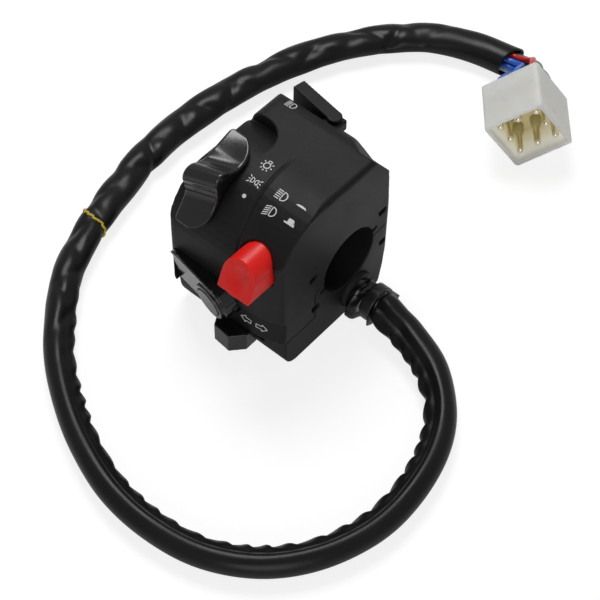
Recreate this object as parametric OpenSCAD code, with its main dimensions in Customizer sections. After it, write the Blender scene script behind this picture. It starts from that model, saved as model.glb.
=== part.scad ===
// Left-hand motorcycle handlebar switch cluster with its sleeved harness and connector.
// Millimetres. X runs along the handlebar, -Y faces the rider and +Z is up.
// The origin is the centre of the handlebar, halfway along the casing.

/* [Handlebar] */
// Diameter of the handlebar tube that the casing clamps
bar_d = 22.2; // [21.8:0.1:23]

/* [Casing] */
// Length of the casing along the handlebar
case_l = 43; // [42:0.5:50]
// Depth of the casing's flat bottom below the bar's centre
case_drop = 25.4; // [25:0.2:30]
// Distance of the rear face from the bar's centre
case_rear = 18.7; // [18.5:0.1:22]
// Distance of the lower casing's front face from the bar's centre
low_front = 28; // [27.5:0.5:29]
// Depth of the upper casing's chin below the bar's centre
chin_drop = 13.3; // [13:0.1:13.8]
// How far the front face falls back towards the inboard end
front_sweep = 2.6; // [1:0.2:4]
// Wall thickness of both casing halves
wall = 2.4; // [1.8:0.1:2.8]
// Tilt of the parting plane, rising towards the rear
part_tilt = 5; // [0:1:8]
// Diameter of the two clamp screws
screw_d = 4; // [3:0.5:4.5]
// Length of the two clamp screws under the head
screw_l = 22; // [18:1:24]

/* [Light slider] */
// Distance of the drum's axis in front of the bar's centre
drum_out = 11; // [10.5:0.5:14]
// Height of the drum's axis above the bar's centre
drum_up = 13.5; // [13:0.5:16]
// Radius of the drum face that the slider runs round
light_r = 21; // [19:0.5:22]
// Width of the slider along the handlebar
slider_w = 11; // [10:0.5:13]
// Thickness of the slider's saddle
slider_t = 2; // [1.5:0.1:2.6]
// Height of the thumb ridge above the saddle
ridge_h = 4.6; // [3:0.2:6]
// Angle that the slider turns through, from off to headlamp
light_travel = 22; // [14:1:24]

/* [Dimmer button] */
// Width of the red button
dim_w = 11.6; // [9:0.2:12.4]
// Height of the red button
dim_h = 11.2; // [10.8:0.2:14]
// Reach of the button past the front face
dim_reach = 8.6; // [6:0.2:12]
// Push travel of the button
dim_travel = 4; // [2:0.5:5]

/* [Turn lever] */
// Width of the lever's knob
turn_w = 11.2; // [9:0.2:13]
// Height of the lever's knob
turn_h = 7.2; // [6:0.2:8]
// Reach of the knob past the lower casing's front
turn_reach = 9; // [7:0.5:12]
// Travel of the lever to each side
turn_travel = 5; // [3:0.5:6]

/* [Horn] */
// Diameter of the horn button
horn_d = 9.2; // [7:0.2:10]
// Push travel of the horn button
horn_travel = 2.5; // [1.5:0.5:3]

/* [Pass trigger] */
// Length of the trigger from its pin to its free end
pass_l = 16.5; // [14:0.5:18]
// Height of the trigger's blade
pass_h = 16; // [14:0.5:16]
// Angle that the trigger turns through when it is pulled
pass_angle = 10; // [6:1:11]

/* [Harness] */
// Diameter of the harness sleeve
sleeve_d = 9; // [7:0.5:10]
// Diameter of each lead wire
wire_d = 2; // [1.6:0.1:2.4]
// Pitch of the connector's pins
pin_pitch = 6.5; // [6:0.1:7]
// Diameter of the connector's pins
pin_d = 2.3; // [1.8:0.1:2.6]
// Depth of the connector's housing
plug_l = 19; // [17:1:24]

/* [Fits] */
// Gap between the two casing halves
part_gap = 0.15; // [0.1:0.05:0.3]
// Gap round a piece that slides
slide_gap = 0.3; // [0.25:0.05:0.5]
// Gap round a pin that turns
run_gap = 0.06; // [0.03:0.01:0.1]
// Gap between pieces that are seated on each other
seat_gap = 0.05; // [0.02:0.01:0.1]

/* [Hidden] */
$fn = 48;
far = 200;
arc_steps = 6;
half_l = case_l / 2;
case_front = drum_out + light_r;
case_top = drum_up + light_r;
bar_r = bar_d / 2;
saddle_r = bar_r + wall;

// Outline corners of the casing, each with its fillet radius
rear_top = case_rear - 3;
chin_back = saddle_r + 1.5;
taper = 3.4;
front_corner = 3.5;
under_corner = 8;
side_shoulder = 6;
function upper_side(drop) = [
    [-case_front, -drop, 0.5], [case_rear, -drop, 0.5], [case_rear, side_shoulder, 10],
    [rear_top, case_top, 7], [-case_front, case_top, light_r]
];
function lower_side(rise) = [
    [-low_front, -case_drop, 5], [case_rear - 3.2, -case_drop, 2], [case_rear, -9, 8],
    [case_rear, rise, 0.5], [-low_front, rise, 0.5]
];
sweep_l = 8;
sweep_r = 4.6 / tan(atan2(front_sweep, sweep_l) / 2);
plan_corners = [
    [-half_l, -case_front, front_corner], [half_l - sweep_l, -case_front, sweep_r],
        [half_l, -case_front + front_sweep, 1.5],
    [half_l, case_rear + 1, 3], [-half_l, case_rear + 1, 6]
];
face_corners = [
    [-half_l, -case_drop - 1, under_corner], [half_l, -case_drop - 1, 1.5], [half_l, case_top, 1.8],
    [-half_l + taper, case_top, 5], [-half_l, 0, 20]
];

// Axis of the light slider's drum, along X
light_y = -drum_out;
light_z = drum_up;
slider_inset = 5.8;
slider_x0 = -half_l + slider_inset;
slider_x1 = slider_x0 + slider_w;
slider_x = (slider_x0 + slider_x1) / 2;
slider_in = light_r + slide_gap;
slider_out = slider_in + slider_t;
slider_front = 75;
slider_rear = -5;
slider_round = 6;
recess_back = 2.8;
recess_round = 8;
ridge_at = 36;
ridge_slant = 16;
ridge_foot = 4.6;
ridge_top = 2.9;
ridge_round = 2.3;
tongue_y = light_y - slider_out * sin(slider_rear);
recess_y = light_y + slider_out * sin(light_travel - slider_rear) + recess_back;
skirt_z = light_z + light_r * cos(slider_front);
web_t = 3;
web_x0 = slider_x - web_t / 2;
web_from = 28;
web_to = 44;
web_mid = (web_from + web_to) / 2;
light_hub_r = 3;
light_pin_r = 1.5;
arm_w = 3.1;
arm_half = 7;
arm_r = 16;
ball_r = 1.1;
rib_t = 2;
rib_x0 = slider_x1 - 0.6;
rib_x1 = rib_x0 + rib_t;
board_t = 1.6;
board_x0 = rib_x0 - seat_gap - board_t;
board_y0 = light_y - 10.5;
board_y1 = light_y + 7;
board_z0 = light_z + light_pin_r + 0.8;
board_h = 10.5;
light_pad_t = 0.6;
light_pad_r = 9;
rivet_r = 0.5;
light_pin_x0 = -half_l + taper / 2 + 1;
light_pin_x1 = rib_x1 + 1.5;

// Dimmer button, a round-topped shape in X and Z
dim_x = half_l - 9.1;
dim_z0 = light_z + 1;
dim_round = dim_w / 2;
dim_zc = dim_z0 + dim_h - dim_round;
dim_tip = -case_front - dim_reach;
dim_flange_y = -case_front + 12;
dim_flange_t = 1.5;
dim_flange_rim = 1.1;
dim_lean = 22;
dish_r = 9;
dish_depth = 1;
dim_body_w = dim_w - 0.4;
dim_body_y0 = dim_flange_y + dim_flange_t + dim_travel + 0.5;
dim_body_l = 12;
dim_body_y1 = dim_body_y0 + dim_body_l;
dim_body_z0 = saddle_r + 2.5;
dim_body_z1 = dim_z0 + dim_h;
dim_stem = 6;
dim_stem_z = (dim_body_z0 + dim_body_z1) / 2;
dim_stem_y = dim_body_y0 + 2;
dim_pocket_y = dim_body_y1 - 1.5;
post_r = 2;
post_out = dim_body_w / 2 - 2;
post_y = dim_body_y1 - 3.2;

// Turn lever at the joint line under the chin
turn_x = 4.8;
turn_z1 = -chin_drop - slide_gap - 0.1;
turn_z0 = turn_z1 - turn_h;
turn_tip = -low_front - turn_reach;
turn_back = -low_front - slide_gap - 0.2;
turn_stem_w = 5.6;
turn_stem_h = 3.8;
turn_stem_z = turn_z1 - 3.8;
carriage_y0 = -low_front + wall + slide_gap;
carriage_t = 3.3;
carriage_y1 = carriage_y0 + carriage_t;
carriage_w = 10;
carriage_h = 6;
turn_board_y0 = carriage_y1 + slide_gap + 0.6;
turn_board_t = 1.5;
turn_board_w = carriage_w + 2 * turn_travel + 2;
turn_board_z1 = -chin_drop - 0.5;

// Horn, in its own leaning frame: outward is -Y there
horn_pitch = 9;
horn_yaw = -10.5;
horn_at = [-1.65, -case_front - 2.5, -5.4];
horn_r = horn_d / 2;
horn_rim = 1.6;
horn_rim_out = 1.4;
horn_rim_in = 4;
horn_face = -1.6;
horn_flange_t = 1.5;
horn_flange_r = horn_r + 1;
horn_flange_y = horn_rim_in + slide_gap;
horn_stem_r = 1.8;
horn_plate_y = horn_flange_y + horn_flange_t + horn_travel + 2.2;
horn_plate_t = 1.5;
horn_guide_in = horn_flange_r + slide_gap;
horn_guide_out = horn_guide_in + 1.2;
bezel_x0 = -half_l + 1.4;
bezel_x1 = 2.6;
bezel_z0 = -chin_drop + 0.1;
bezel_z1 = 2.7;
bezel_back = -case_front + 4;
bezel_skin = 2;
hood_out = 0.9;
hood_z = 6.4;

// Bevel at the rear of the top, with a ramp at its outboard end
bevel_x = 9.5;
bevel_ramp = 6;
bevel_rise = 2.6;
bevel_y = case_rear - 9;
bevel_tilt = 37;

// Strip for the turn signs, leaning back under a crease at the foot of the front face
strip_x = 3.6;
strip_z = -3.5;
strip_in = 0.3;
strip_lean = 7;

// Pass trigger in its notch at the top of the rear face
pass_notch_x = 3;
pass_notch_y = case_rear - 5.3;
pass_notch_z = case_top - 18.5;
pass_x = 0.4;
pass_y = pass_notch_y + 3.5;
pass_z0 = pass_notch_z + 1;
pass_cap = 1.2;
pass_z2 = pass_z0 + pass_h;
pass_z1 = pass_z2 - pass_cap - slide_gap;
pass_lug_r = 2.6;
pass_knuckle_r = pass_lug_r - slide_gap;
pass_pin_r = 1.25;
pass_lug_h = 3.7;
pass_in = 2;
pass_out = 2.2;
pass_finger_x = -9;
pass_finger_z = (pass_z0 + pass_z1) / 2;
pass_switch_y1 = pass_notch_y - wall - seat_gap;
pass_switch_l = pass_switch_y1 - recess_y - wall - 2 * slide_gap;
pass_pocket = 2.4;
pass_switch_h = 9;
pass_finger_l = 6.4;
pass_finger_w = 1.4;
pass_finger_h = 1.5;
pass_slot = 2.1;
pass_swing = 1;
pass_spring_x = -13;

// Clamp screws and their columns
screw_r = screw_d / 2;
head_r = screw_r + 1.5;
head_h = 2.6;
column_r = head_r + 1.5;
boss_r = screw_r + 1.7;
front_screw = [-half_l + 7.5, -chin_back - 2.5, -case_drop + 4.4];
rear_screw = [half_l - 7.5, (bar_r + case_rear) / 2, -case_drop + 13.4];
screws = [front_screw, rear_screw];

// Cable exit through the inboard wall of the lower casing
exit_y = 4;
exit_z = -(bar_r + case_drop) / 2 + 0.4;
exit_r = sleeve_d / 2 + 0.5;
exit_lip = 1.2;
tape_l = 9;
tie_w = 3.6;
tie_t = 1.3;
tie_x = half_l + exit_lip + 5;
sleeve_x0 = half_l + exit_lip + tape_l;

// Cord route over the table, from the tape to the open mouth of the sleeve
sleeve_z = -20.2;
sleeve_start = [sleeve_x0 + seat_gap, exit_y, exit_z];
sleeve_route = [
    sleeve_start + [2, 0, 0], [38, 4, -18.6], [44, 3.4, -19.4], [57, -2, sleeve_z], [68, -12, sleeve_z],
    [75, -26, sleeve_z], [78, -42, sleeve_z], [77, -57, sleeve_z], [71, -72, sleeve_z],
    [61, -84, sleeve_z], [47, -92, sleeve_z], [31, -95, sleeve_z], [15, -94, sleeve_z],
    [-1, -89, sleeve_z], [-15, -82, sleeve_z], [-28, -73, sleeve_z], [-39, -62, sleeve_z],
    [-49, -49, sleeve_z], [-56, -34, sleeve_z], [-61, -17, sleeve_z], [-65, 2, sleeve_z],
    [-66, 21, sleeve_z], [-64, 41, sleeve_z], [-60, 60, sleeve_z], [-53, 78, sleeve_z],
    [-43, 94, sleeve_z], [-31, 106, sleeve_z], [-17, 113, sleeve_z], [-3, 116, sleeve_z]
];

// Connector, leaning on its lower edge
plug_yaw = 40;
plug_roll = 36;
plug_wall = 1.4;
plug_rim = 3.6;
plug_w = 2 * pin_pitch + 2 * plug_rim + 0.6;
plug_h = 2 * pin_pitch + 2 * plug_rim + 1.4;
plug_floor = 6;
plug_at = [21, 91.3, -case_drop + (plug_w * sin(plug_roll) + plug_h * cos(plug_roll)) / 2];
pin_out = plug_l - plug_floor - 1.2;
pin_cells = [[-1, 1], [0, 1], [1, 1], [1, 0], [1, -1], [0, -1], [-1, -1], [-1, 0]];

// Outline helpers: inset a convex outline and round its corners
function unit(v) = v / norm(v);
function left_of(a, b) = unit([a[1] - b[1], b[0] - a[0]]);
function meet(p, d, q, e) = p + d * cross(q - p, e) / cross(d, e);
function inset_corner(a, b, c, i) = meet(b + left_of(a, b) * i, b - a, b + left_of(b, c) * i, c - b);
function sweep_angle(a) = (a + 540) % 360 - 180;
function round_corner(a, b, c, r, n) =
    let (u = unit(a - b), v = unit(c - b), half = acos(u * v) / 2)
    let (centre = b + unit(u + v) * r / sin(half), s = b + u * r / tan(half), e = b + v * r / tan(half))
    let (a0 = atan2(s[1] - centre[1], s[0] - centre[0]), a1 = atan2(e[1] - centre[1], e[0] - centre[0]))
    [for (k = [0:n]) centre + r * [cos(a0 + sweep_angle(a1 - a0) * k / n),
        sin(a0 + sweep_angle(a1 - a0) * k / n)]];
function inset_points(c, i) =
    let (n = len(c), p = [for (q = c) [q[0], q[1]]])
    [for (k = [0:n - 1]) inset_corner(p[(k + n - 1) % n], p[k], p[(k + 1) % n], i)];
function rounded(c, i = 0) =
    let (n = len(c), p = inset_points(c, i))
    [for (k = [0:n - 1]) each round_corner(p[(k + n - 1) % n], p[k], p[(k + 1) % n],
        max(c[k][2] - i, 0.3), c[k][2] > 15 ? 2 * arc_steps : arc_steps)];
function rounded_box(w, h, r) = rounded([[-w / 2, -h / 2, r], [w / 2, -h / 2, r], [w / 2, h / 2, r],
    [-w / 2, h / 2, r]]);

// Sweeps a round section along points as one closed body, carrying its side along without twist
function tangent(p, k) = unit(p[min(k + 1, len(p) - 1)] - p[max(k - 1, 0)]);
function side_of(t) = unit(cross(t, abs(t[2]) > 0.9 ? [1, 0, 0] : [0, 0, 1]));
function carried(s, t) = unit(s - t * (s * t));
function sides(p) = [for (k = 0, s = side_of(tangent(p, 0)); k < len(p);
    k = k + 1, s = carried(s, tangent(p, min(k, len(p) - 1)))) s];
function ring_points(c, t, s, r, n) =
    [for (j = [0:n - 1]) c + r * (cos(360 * j / n) * s + sin(360 * j / n) * cross(s, t))];
module tube(p, r, n) {
    m = len(p);
    s = sides(p);
    points = [for (k = [0:m - 1]) each ring_points(p[k], tangent(p, k), s[k], r, n)];
    walls = [for (k = [0:m - 2], j = [0:n - 1]) each [
        [k * n + j, (k + 1) * n + (j + 1) % n, k * n + (j + 1) % n],
        [k * n + j, (k + 1) * n + j, (k + 1) * n + (j + 1) % n]
    ]];
    starts = [for (j = [1:n - 2]) [0, j, j + 1]];
    ends = [for (j = [1:n - 2]) [(m - 1) * n, (m - 1) * n + j + 1, (m - 1) * n + j]];
    polyhedron(points, concat(walls, starts, ends));
}

// Smooth curve through chosen points, with a few steps between each pair
function curve_at(a, b, c, d, t) =
    0.5 * (2 * b + (c - a) * t + (2 * a - 5 * b + 4 * c - d) * t * t + (3 * b - a - 3 * c + d) * t * t * t);
function smooth(p, n) =
    let (m = len(p))
    concat([for (k = [0:m - 2], j = [0:n - 1]) curve_at(
        k == 0 ? 2 * p[0] - p[1] : p[k - 1], p[k], p[k + 1],
        k == m - 2 ? 2 * p[m - 1] - p[m - 2] : p[k + 2], j / n)], [p[m - 1]]);

// Coil spring along +Z, of one unbroken wire
spring_steps = 8;
function coil(r, l, turns) =
    [for (k = [0:turns * spring_steps]) [r * cos(360 * k / spring_steps), r * sin(360 * k / spring_steps),
        l * k / (turns * spring_steps)]];
module spring(r, wire_r, l, turns) {
    translate([0, 0, wire_r]) tube(coil(r - wire_r, l - 2 * wire_r, turns), wire_r, 6);
}

module along_x(x0, x1) { translate([x0, 0, 0]) rotate([90, 0, 90]) linear_extrude(x1 - x0) children(); }
module along_y(y0, y1) { translate([0, y1, 0]) rotate([90, 0, 0]) linear_extrude(y1 - y0) children(); }
module rod_x(x0, x1, r) { translate([x0, 0, 0]) rotate([0, 90, 0]) cylinder(h = x1 - x0, r = r); }
module rod_y(y0, y1, r) { translate([0, y1, 0]) rotate([90, 0, 0]) cylinder(h = y1 - y0, r = r); }
module block(a, b) { translate(a) cube(b - a); }

// The casing's outer form, or its hollow when it is inset by the wall
module casing_form(side, i) {
    intersection() {
        along_x(-half_l + i, half_l - i) polygon(rounded(side, i));
        linear_extrude(far, center = true) polygon(rounded(plan_corners, i));
        rotate([90, 0, 0]) linear_extrude(far, center = true) polygon(rounded(face_corners, i));
    }
}

// Space under the tilted parting plane and behind the chin
module under_parting(grow) {
    intersection() {
        rotate([part_tilt, 0, 0]) block([-far, -far, -far], [far, far, grow]);
        block([-far, -chin_back - grow, -far], [far, far, far]);
    }
}

// Small pockets and the key notches in the inboard face
pocket_y = 15.6;
pocket_z = 7.4;
pocket_l = 3.2;
pocket_w = 2.2;
pocket_depth = 1.6;
module face_pockets() {
    for (s = [-1, 1], t = [-1, 1])
        rotate([part_tilt, 0, 0]) translate([half_l, s * pocket_y, t * pocket_z])
            cube([2 * pocket_depth, pocket_l, pocket_w], center = true);
}
notch_tilt = 18;
notch_depth = 3;
notch_w = 1.4;
module bore_notches() {
    for (turn = [0, 180])
        rotate([notch_tilt + turn, 0, 0])
            block([half_l - notch_depth, 0, -notch_w / 2], [half_l + 1, bar_r + 2.2, notch_w / 2]);
}

module about_light() { translate([0, light_y, light_z]) rotate(a = 180, v = [1, 0, 1]) children(); }

// Part of a ring round the light axis, from angle f to angle t off the vertical
module light_sector(r0, r1, x0, x1, f, t) {
    about_light() rotate([0, 0, f]) rotate_extrude(angle = t - f) translate([r0, x0])
        square([r1 - r0, x1 - x0]);
}

module dimmer_outline(grow) {
    union() {
        translate([dim_x, dim_zc]) circle(r = dim_round + grow);
        translate([dim_x - dim_round - grow, dim_z0 - grow])
            square([dim_w + 2 * grow, dim_zc - dim_z0 + grow]);
    }
}

module bezel_outline(grow) {
    r = 4;
    polygon(rounded([[bezel_x0, bezel_z0, 2], [bezel_x1, bezel_z0, r], [bezel_x1, bezel_z1, 2],
        [bezel_x0, bezel_z1, r]], -grow));
}

module horn_frame() { translate(horn_at) rotate([horn_pitch, 0, horn_yaw]) children(); }

module upper_hollow() {
    difference() {
        casing_form(upper_side(chin_drop + far / 4), wall);
        rotate([0, 90, 0]) cylinder(h = far, r = saddle_r, center = true);
        // Floor of the slider's recess
        difference() {
            block([-far, light_y, light_z], [slider_x1 + slide_gap + wall, recess_y + wall, far]);
            about_light() cylinder(h = far, r = light_r - wall, center = true);
        }
        behind_bevel(wall);
        // Wall behind the trigger's notch
        block([-far, pass_notch_y - wall, pass_notch_z - wall], [pass_notch_x + wall, far, far]);
    }
}

// Space behind the bevel that slopes the top down to the rear, inboard of the trigger
module behind_bevel(grow) {
    translate([bevel_x - grow, bevel_y, case_top]) rotate([bevel_tilt, 0, 0])
        linear_extrude(far, center = true)
            polygon([[0, bevel_rise - grow], [bevel_ramp, -grow], [far, -grow], [far, far], [0, far]]);
}

module slider_recess() {
    difference() {
        block([-far, light_y, light_z], [slider_x1 + slide_gap, recess_y, far]);
        about_light() cylinder(h = far, r = light_r, center = true);
        // Rounded inboard corner
        difference() {
            block([slider_x1 + slide_gap - recess_round, recess_y - recess_round, 0], [far, far, far]);
            translate([slider_x1 + slide_gap - recess_round, recess_y - recess_round, 0])
                cylinder(h = far, r = recess_round);
        }
    }
}

module sign_strip() {
    difference() {
        block([strip_x, -far, -far], [far, -low_front, strip_z]);
        translate([0, strip_in - case_front, -chin_drop]) rotate([-strip_lean, 0, 0])
            translate([0, case_front, 0]) linear_extrude(far, center = true) polygon(rounded(plan_corners));
    }
}

module pass_lugs() {
    for (z = [pass_z0 - 1, pass_z1 - pass_lug_h]) {
        translate([pass_x, pass_y, z]) cylinder(h = pass_lug_h, r = pass_lug_r);
        block([pass_x, pass_notch_y - 0.5, z],
            [pass_notch_x + 0.5, pass_y + pass_lug_r - 0.4, z + pass_lug_h]);
        block([pass_x - pass_lug_r, pass_notch_y - 0.5, z], [pass_x, pass_y, z + pass_lug_h]);
    }
}

module upper_inner_works() {
    // Rib that carries the light switch's pin and board
    intersection() {
        casing_form(upper_side(chin_drop), wall / 2);
        block([rib_x0, light_y - 13, saddle_r - 6], [rib_x1, light_y + 9, case_top]);
    }
    // Bed of the pin on the outboard wall
    intersection() {
        casing_form(upper_side(chin_drop), wall / 2);
        translate([0, light_y, light_z]) rod_x(-half_l, web_x0 - arm_w - slide_gap, light_pin_r + 1.6);
    }
    // Posts for the dimmer's screws
    for (s = [-1, 1])
        translate([dim_x + s * post_out, post_y, dim_body_z1 + seat_gap])
            cylinder(h = case_top - wall / 2 - dim_body_z1 - seat_gap, r = post_r);
    // Front clamp boss with its web to the saddle
    translate([front_screw[0], front_screw[1], -chin_drop])
        cylinder(h = front_screw[2] + screw_l + 1.5 + chin_drop, r = boss_r);
    block([front_screw[0] - 1.5, front_screw[1], -chin_drop + 3],
        [front_screw[0] + 1.5, -bar_r + 1.5, saddle_r - 4]);
    // Rear clamp boss, rounded over at its top
    translate([rear_screw[0], rear_screw[1], 0]) cylinder(h = rear_screw[2] + screw_l, r = column_r);
    translate([rear_screw[0], rear_screw[1], rear_screw[2] + screw_l]) sphere(r = column_r);
}

module upper_case() color([0.1, 0.1, 0.11]) {
    difference() {
        union() {
            difference() {
                casing_form(upper_side(chin_drop), 0);
                upper_hollow();
                block([-far, pass_notch_y, pass_notch_z], [pass_notch_x, far, far]);
            }
            upper_inner_works();
            pass_lugs();
        }
        under_parting(part_gap / 2);
        rotate([0, 90, 0]) cylinder(h = far, r = bar_r, center = true);
        face_pockets();
        bore_notches();
        behind_bevel(0);
        sign_strip();
        slider_recess();
        light_sector(light_r - wall - 1.5, light_r + 1, web_x0 - slide_gap, web_x0 + web_t + slide_gap,
            web_from - light_travel - 2, web_to + 2);
        translate([0, light_y, light_z]) rod_x(light_pin_x0 - seat_gap, light_pin_x1, light_pin_r + seat_gap);
        along_y(-far, dim_flange_y) dimmer_outline(slide_gap);
        along_y(-far, bezel_back) bezel_outline(seat_gap);
        horn_frame() rod_y(-far / 4, horn_plate_y, horn_guide_out + seat_gap);
        for (s = [-1, 1])
            translate([dim_x + s * post_out, post_y, 0]) cylinder(h = dim_body_z1 + 3.5, r = 0.8);
        for (s = screws)
            translate([s[0], s[1], s[2]]) cylinder(h = screw_l + 1, r = screw_r + seat_gap);
        translate([pass_x, pass_y, pass_z0 - 1 + 0.5]) cylinder(h = far, r = pass_pin_r + seat_gap);
        block([pass_x + pass_finger_x - pass_finger_w - pass_swing, pass_notch_y - wall - 1,
            pass_finger_z - pass_slot],
            [pass_x + pass_finger_x + pass_finger_w + pass_swing, pass_notch_y + 1,
                pass_finger_z + pass_slot]);
    }
}

module lower_case() color([0.1, 0.1, 0.11]) {
    difference() {
        union() {
            intersection() {
                difference() {
                    casing_form(lower_side(far / 8), 0);
                    difference() {
                        casing_form(lower_side(far / 4), wall);
                        rotate([0, 90, 0]) cylinder(h = far, r = saddle_r, center = true);
                    }
                }
                union() {
                    under_parting(-part_gap / 2);
                    block([-far, -far, -far], [far, far, -chin_drop - part_gap / 2]);
                }
            }
            // Columns for the clamp screws
            intersection() {
                union() {
                    translate([front_screw[0], front_screw[1], -case_drop])
                        cylinder(h = case_drop - chin_drop - part_gap / 2, r = column_r - 0.6);
                    block([front_screw[0] - 1.5, front_screw[1], -case_drop + 1],
                        [front_screw[0] + 1.5, -bar_r + 1.5, -chin_drop - 1]);
                    intersection() {
                        translate([rear_screw[0], rear_screw[1], -case_drop])
                            cylinder(h = far / 4, r = column_r);
                        under_parting(-part_gap / 2);
                    }
                }
                casing_form(lower_side(far / 8), 0);
            }
        }
        rotate([0, 90, 0]) cylinder(h = far, r = bar_r, center = true);
        face_pockets();
        bore_notches();
        for (s = screws) {
            translate([s[0], s[1], -far / 2]) cylinder(h = far, r = screw_r + 0.2);
            translate([s[0], s[1], s[2] - far]) cylinder(h = far, r = head_r + 0.3);
        }
        // Slot that the turn lever's stem slides in
        block([turn_x - turn_stem_w / 2 - turn_travel - slide_gap, -low_front - 1,
            turn_stem_z - turn_stem_h / 2 - slide_gap],
            [turn_x + turn_stem_w / 2 + turn_travel + slide_gap, -low_front + wall + 0.2, 0]);
        translate([0, exit_y, exit_z]) rod_x(half_l - wall - 1, half_l + 1, exit_r + seat_gap + exit_lip);
    }
}

module clamp_screws() color([0.75, 0.76, 0.78]) {
    for (s = screws) translate(s) difference() {
        union() {
            cylinder(h = screw_l, r = screw_r);
            translate([0, 0, -head_h]) cylinder(h = head_h, r = head_r);
        }
        for (turn = [0, 90])
            rotate([0, 0, turn]) translate([0, 0, -head_h]) cube([head_r * 1.1, 0.9, 2.2], center = true);
    }
}

module light_slider() color([0.04, 0.04, 0.05]) {
    intersection() {
        light_sector(slider_in, slider_out, slider_x0, slider_x1, slider_rear - 10, slider_front + 10);
        linear_extrude(far) polygon(rounded([[slider_x0, -far, 1], [slider_x1, -far, 1],
            [slider_x1, tongue_y, slider_round], [slider_x0, tongue_y, 2]]));
        rotate([90, 0, 0]) linear_extrude(far, center = true)
            polygon(rounded([[slider_x0, skirt_z, 2],
            [slider_x1, skirt_z, slider_round], [slider_x1, far, 1], [slider_x0, far, 1]]));
    }
    // Slanted thumb ridge with a round crest
    intersection() {
        about_light() rotate([0, 0, ridge_at]) translate([slider_in + 0.4, 0, slider_x])
            rotate([ridge_slant, 0, 0])
            linear_extrude(2 * slider_w, center = true)
                polygon(rounded([[0, -ridge_foot, 0.4], [slider_t + ridge_h, -ridge_top, ridge_round],
                    [slider_t + ridge_h, ridge_top, ridge_round], [0, ridge_foot, 0.4]]));
        block([slider_x0, -far, 0], [slider_x1, far, far]);
    }
}

module light_rotor() color([0.85, 0.84, 0.78]) {
    arm_x0 = web_x0 - arm_w;
    difference() {
        union() {
            light_sector(light_hub_r - 0.8, slider_in - seat_gap, web_x0, web_x0 + web_t, web_from, web_to);
            light_sector(light_hub_r - 0.6, arm_r, arm_x0, web_x0 + 0.2, web_mid - arm_half,
                web_mid + arm_half);
            about_light() translate([0, 0, arm_x0]) cylinder(h = arm_w + web_t, r = light_hub_r);
        }
        about_light() translate([0, 0, arm_x0 - 1])
            cylinder(h = arm_w + web_t + 2, r = light_pin_r + run_gap);
        about_light() rotate([0, 0, web_mid]) translate([arm_r - 7.5, 0, arm_x0 + arm_w / 2])
            rotate([0, 90, 0]) cylinder(h = 10, r = ball_r + 0.1);
        // Seat of the wiper on the inboard face
        about_light() rotate([0, 0, web_mid]) translate([light_pad_r - 2.5, 0, web_x0 + web_t])
            rotate([0, 180, 0]) cylinder(h = 1.5, r = 0.8 + seat_gap);
    }
}

module light_ball() color([0.75, 0.76, 0.78])
    about_light() rotate([0, 0, web_mid])
        translate([light_r - wall - 0.3 - ball_r, 0, web_x0 - arm_w / 2]) sphere(r = ball_r);

module light_ball_spring() color([0.7, 0.7, 0.72])
    about_light() rotate([0, 0, web_mid])
        translate([arm_r - 7.4, 0, web_x0 - arm_w / 2]) rotate([0, 90, 0])
            spring(ball_r - 0.1, 0.22, light_r - wall - 0.3 - 2 * ball_r - arm_r + 7.3, 5);

module light_wiper() color([0.8, 0.62, 0.25])
    about_light() rotate([0, 0, web_mid]) {
        wiper_x = web_x0 + web_t + seat_gap;
        translate([light_pad_r - 2.5, 0, wiper_x - 1.4]) cylinder(h = 1.4, r = 0.8);
        translate([light_pad_r - 4, -1.2, wiper_x]) cube([6, 2.4, 0.4]);
        translate([light_pad_r + 0.5, 0, wiper_x])
            cylinder(h = board_x0 - light_pad_t - 0.3 - wiper_x, r = 0.9);
    }

module light_pin() color([0.75, 0.76, 0.78])
    translate([0, light_y, light_z]) rod_x(light_pin_x0, light_pin_x1, light_pin_r);

module light_board() color([0.45, 0.28, 0.14])
    difference() {
        block([board_x0, board_y0, board_z0], [board_x0 + board_t, board_y1, board_z0 + board_h]);
        for (f = light_rivets)
            about_light() rotate([0, 0, f]) translate([light_pad_r, 0, 0])
                cylinder(h = far, r = rivet_r + seat_gap, center = true);
    }

light_rivets = [for (k = [0:2]) web_mid - k * light_travel / 2];
module light_contacts() color([0.8, 0.62, 0.25])
    for (f = light_rivets)
        about_light() rotate([0, 0, f]) translate([light_pad_r, 0, board_x0]) {
            translate([0, 0, -light_pad_t]) cylinder(h = light_pad_t, r = rivet_r + 0.25);
            translate([0, 0, -0.1]) cylinder(h = board_t + 0.1, r = rivet_r);
        }

module dimmer_button() color([0.85, 0.08, 0.06]) {
    difference() {
        union() {
            along_y(dim_tip, dim_flange_y + 0.1) dimmer_outline(0);
            // Flange, cut flat beside the inboard wall
            along_y(dim_flange_y, dim_flange_y + dim_flange_t) intersection() {
                dimmer_outline(dim_flange_rim);
                translate([0, dim_z0 - dim_h]) square([half_l - wall - slide_gap, 3 * dim_h]);
            }
        }
        // Slanted front with its thumb dish
        translate([dim_x, dim_tip, dim_z0]) rotate([-dim_lean, 0, 0]) {
            block([-far, -far, -far], [far, 0, far]);
            translate([0, -dish_r + dish_depth, dim_h / 2]) sphere(r = dish_r);
        }
        // Socket for the plunger
        block([dim_x - dim_stem / 2 + 1 - seat_gap, dim_flange_y - 3,
            dim_stem_z - dim_stem / 2 + 1 - seat_gap],
            [dim_x + dim_stem / 2 - 1 + seat_gap, dim_flange_y + 5,
                dim_stem_z + dim_stem / 2 - 1 + seat_gap]);
    }
}

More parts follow.
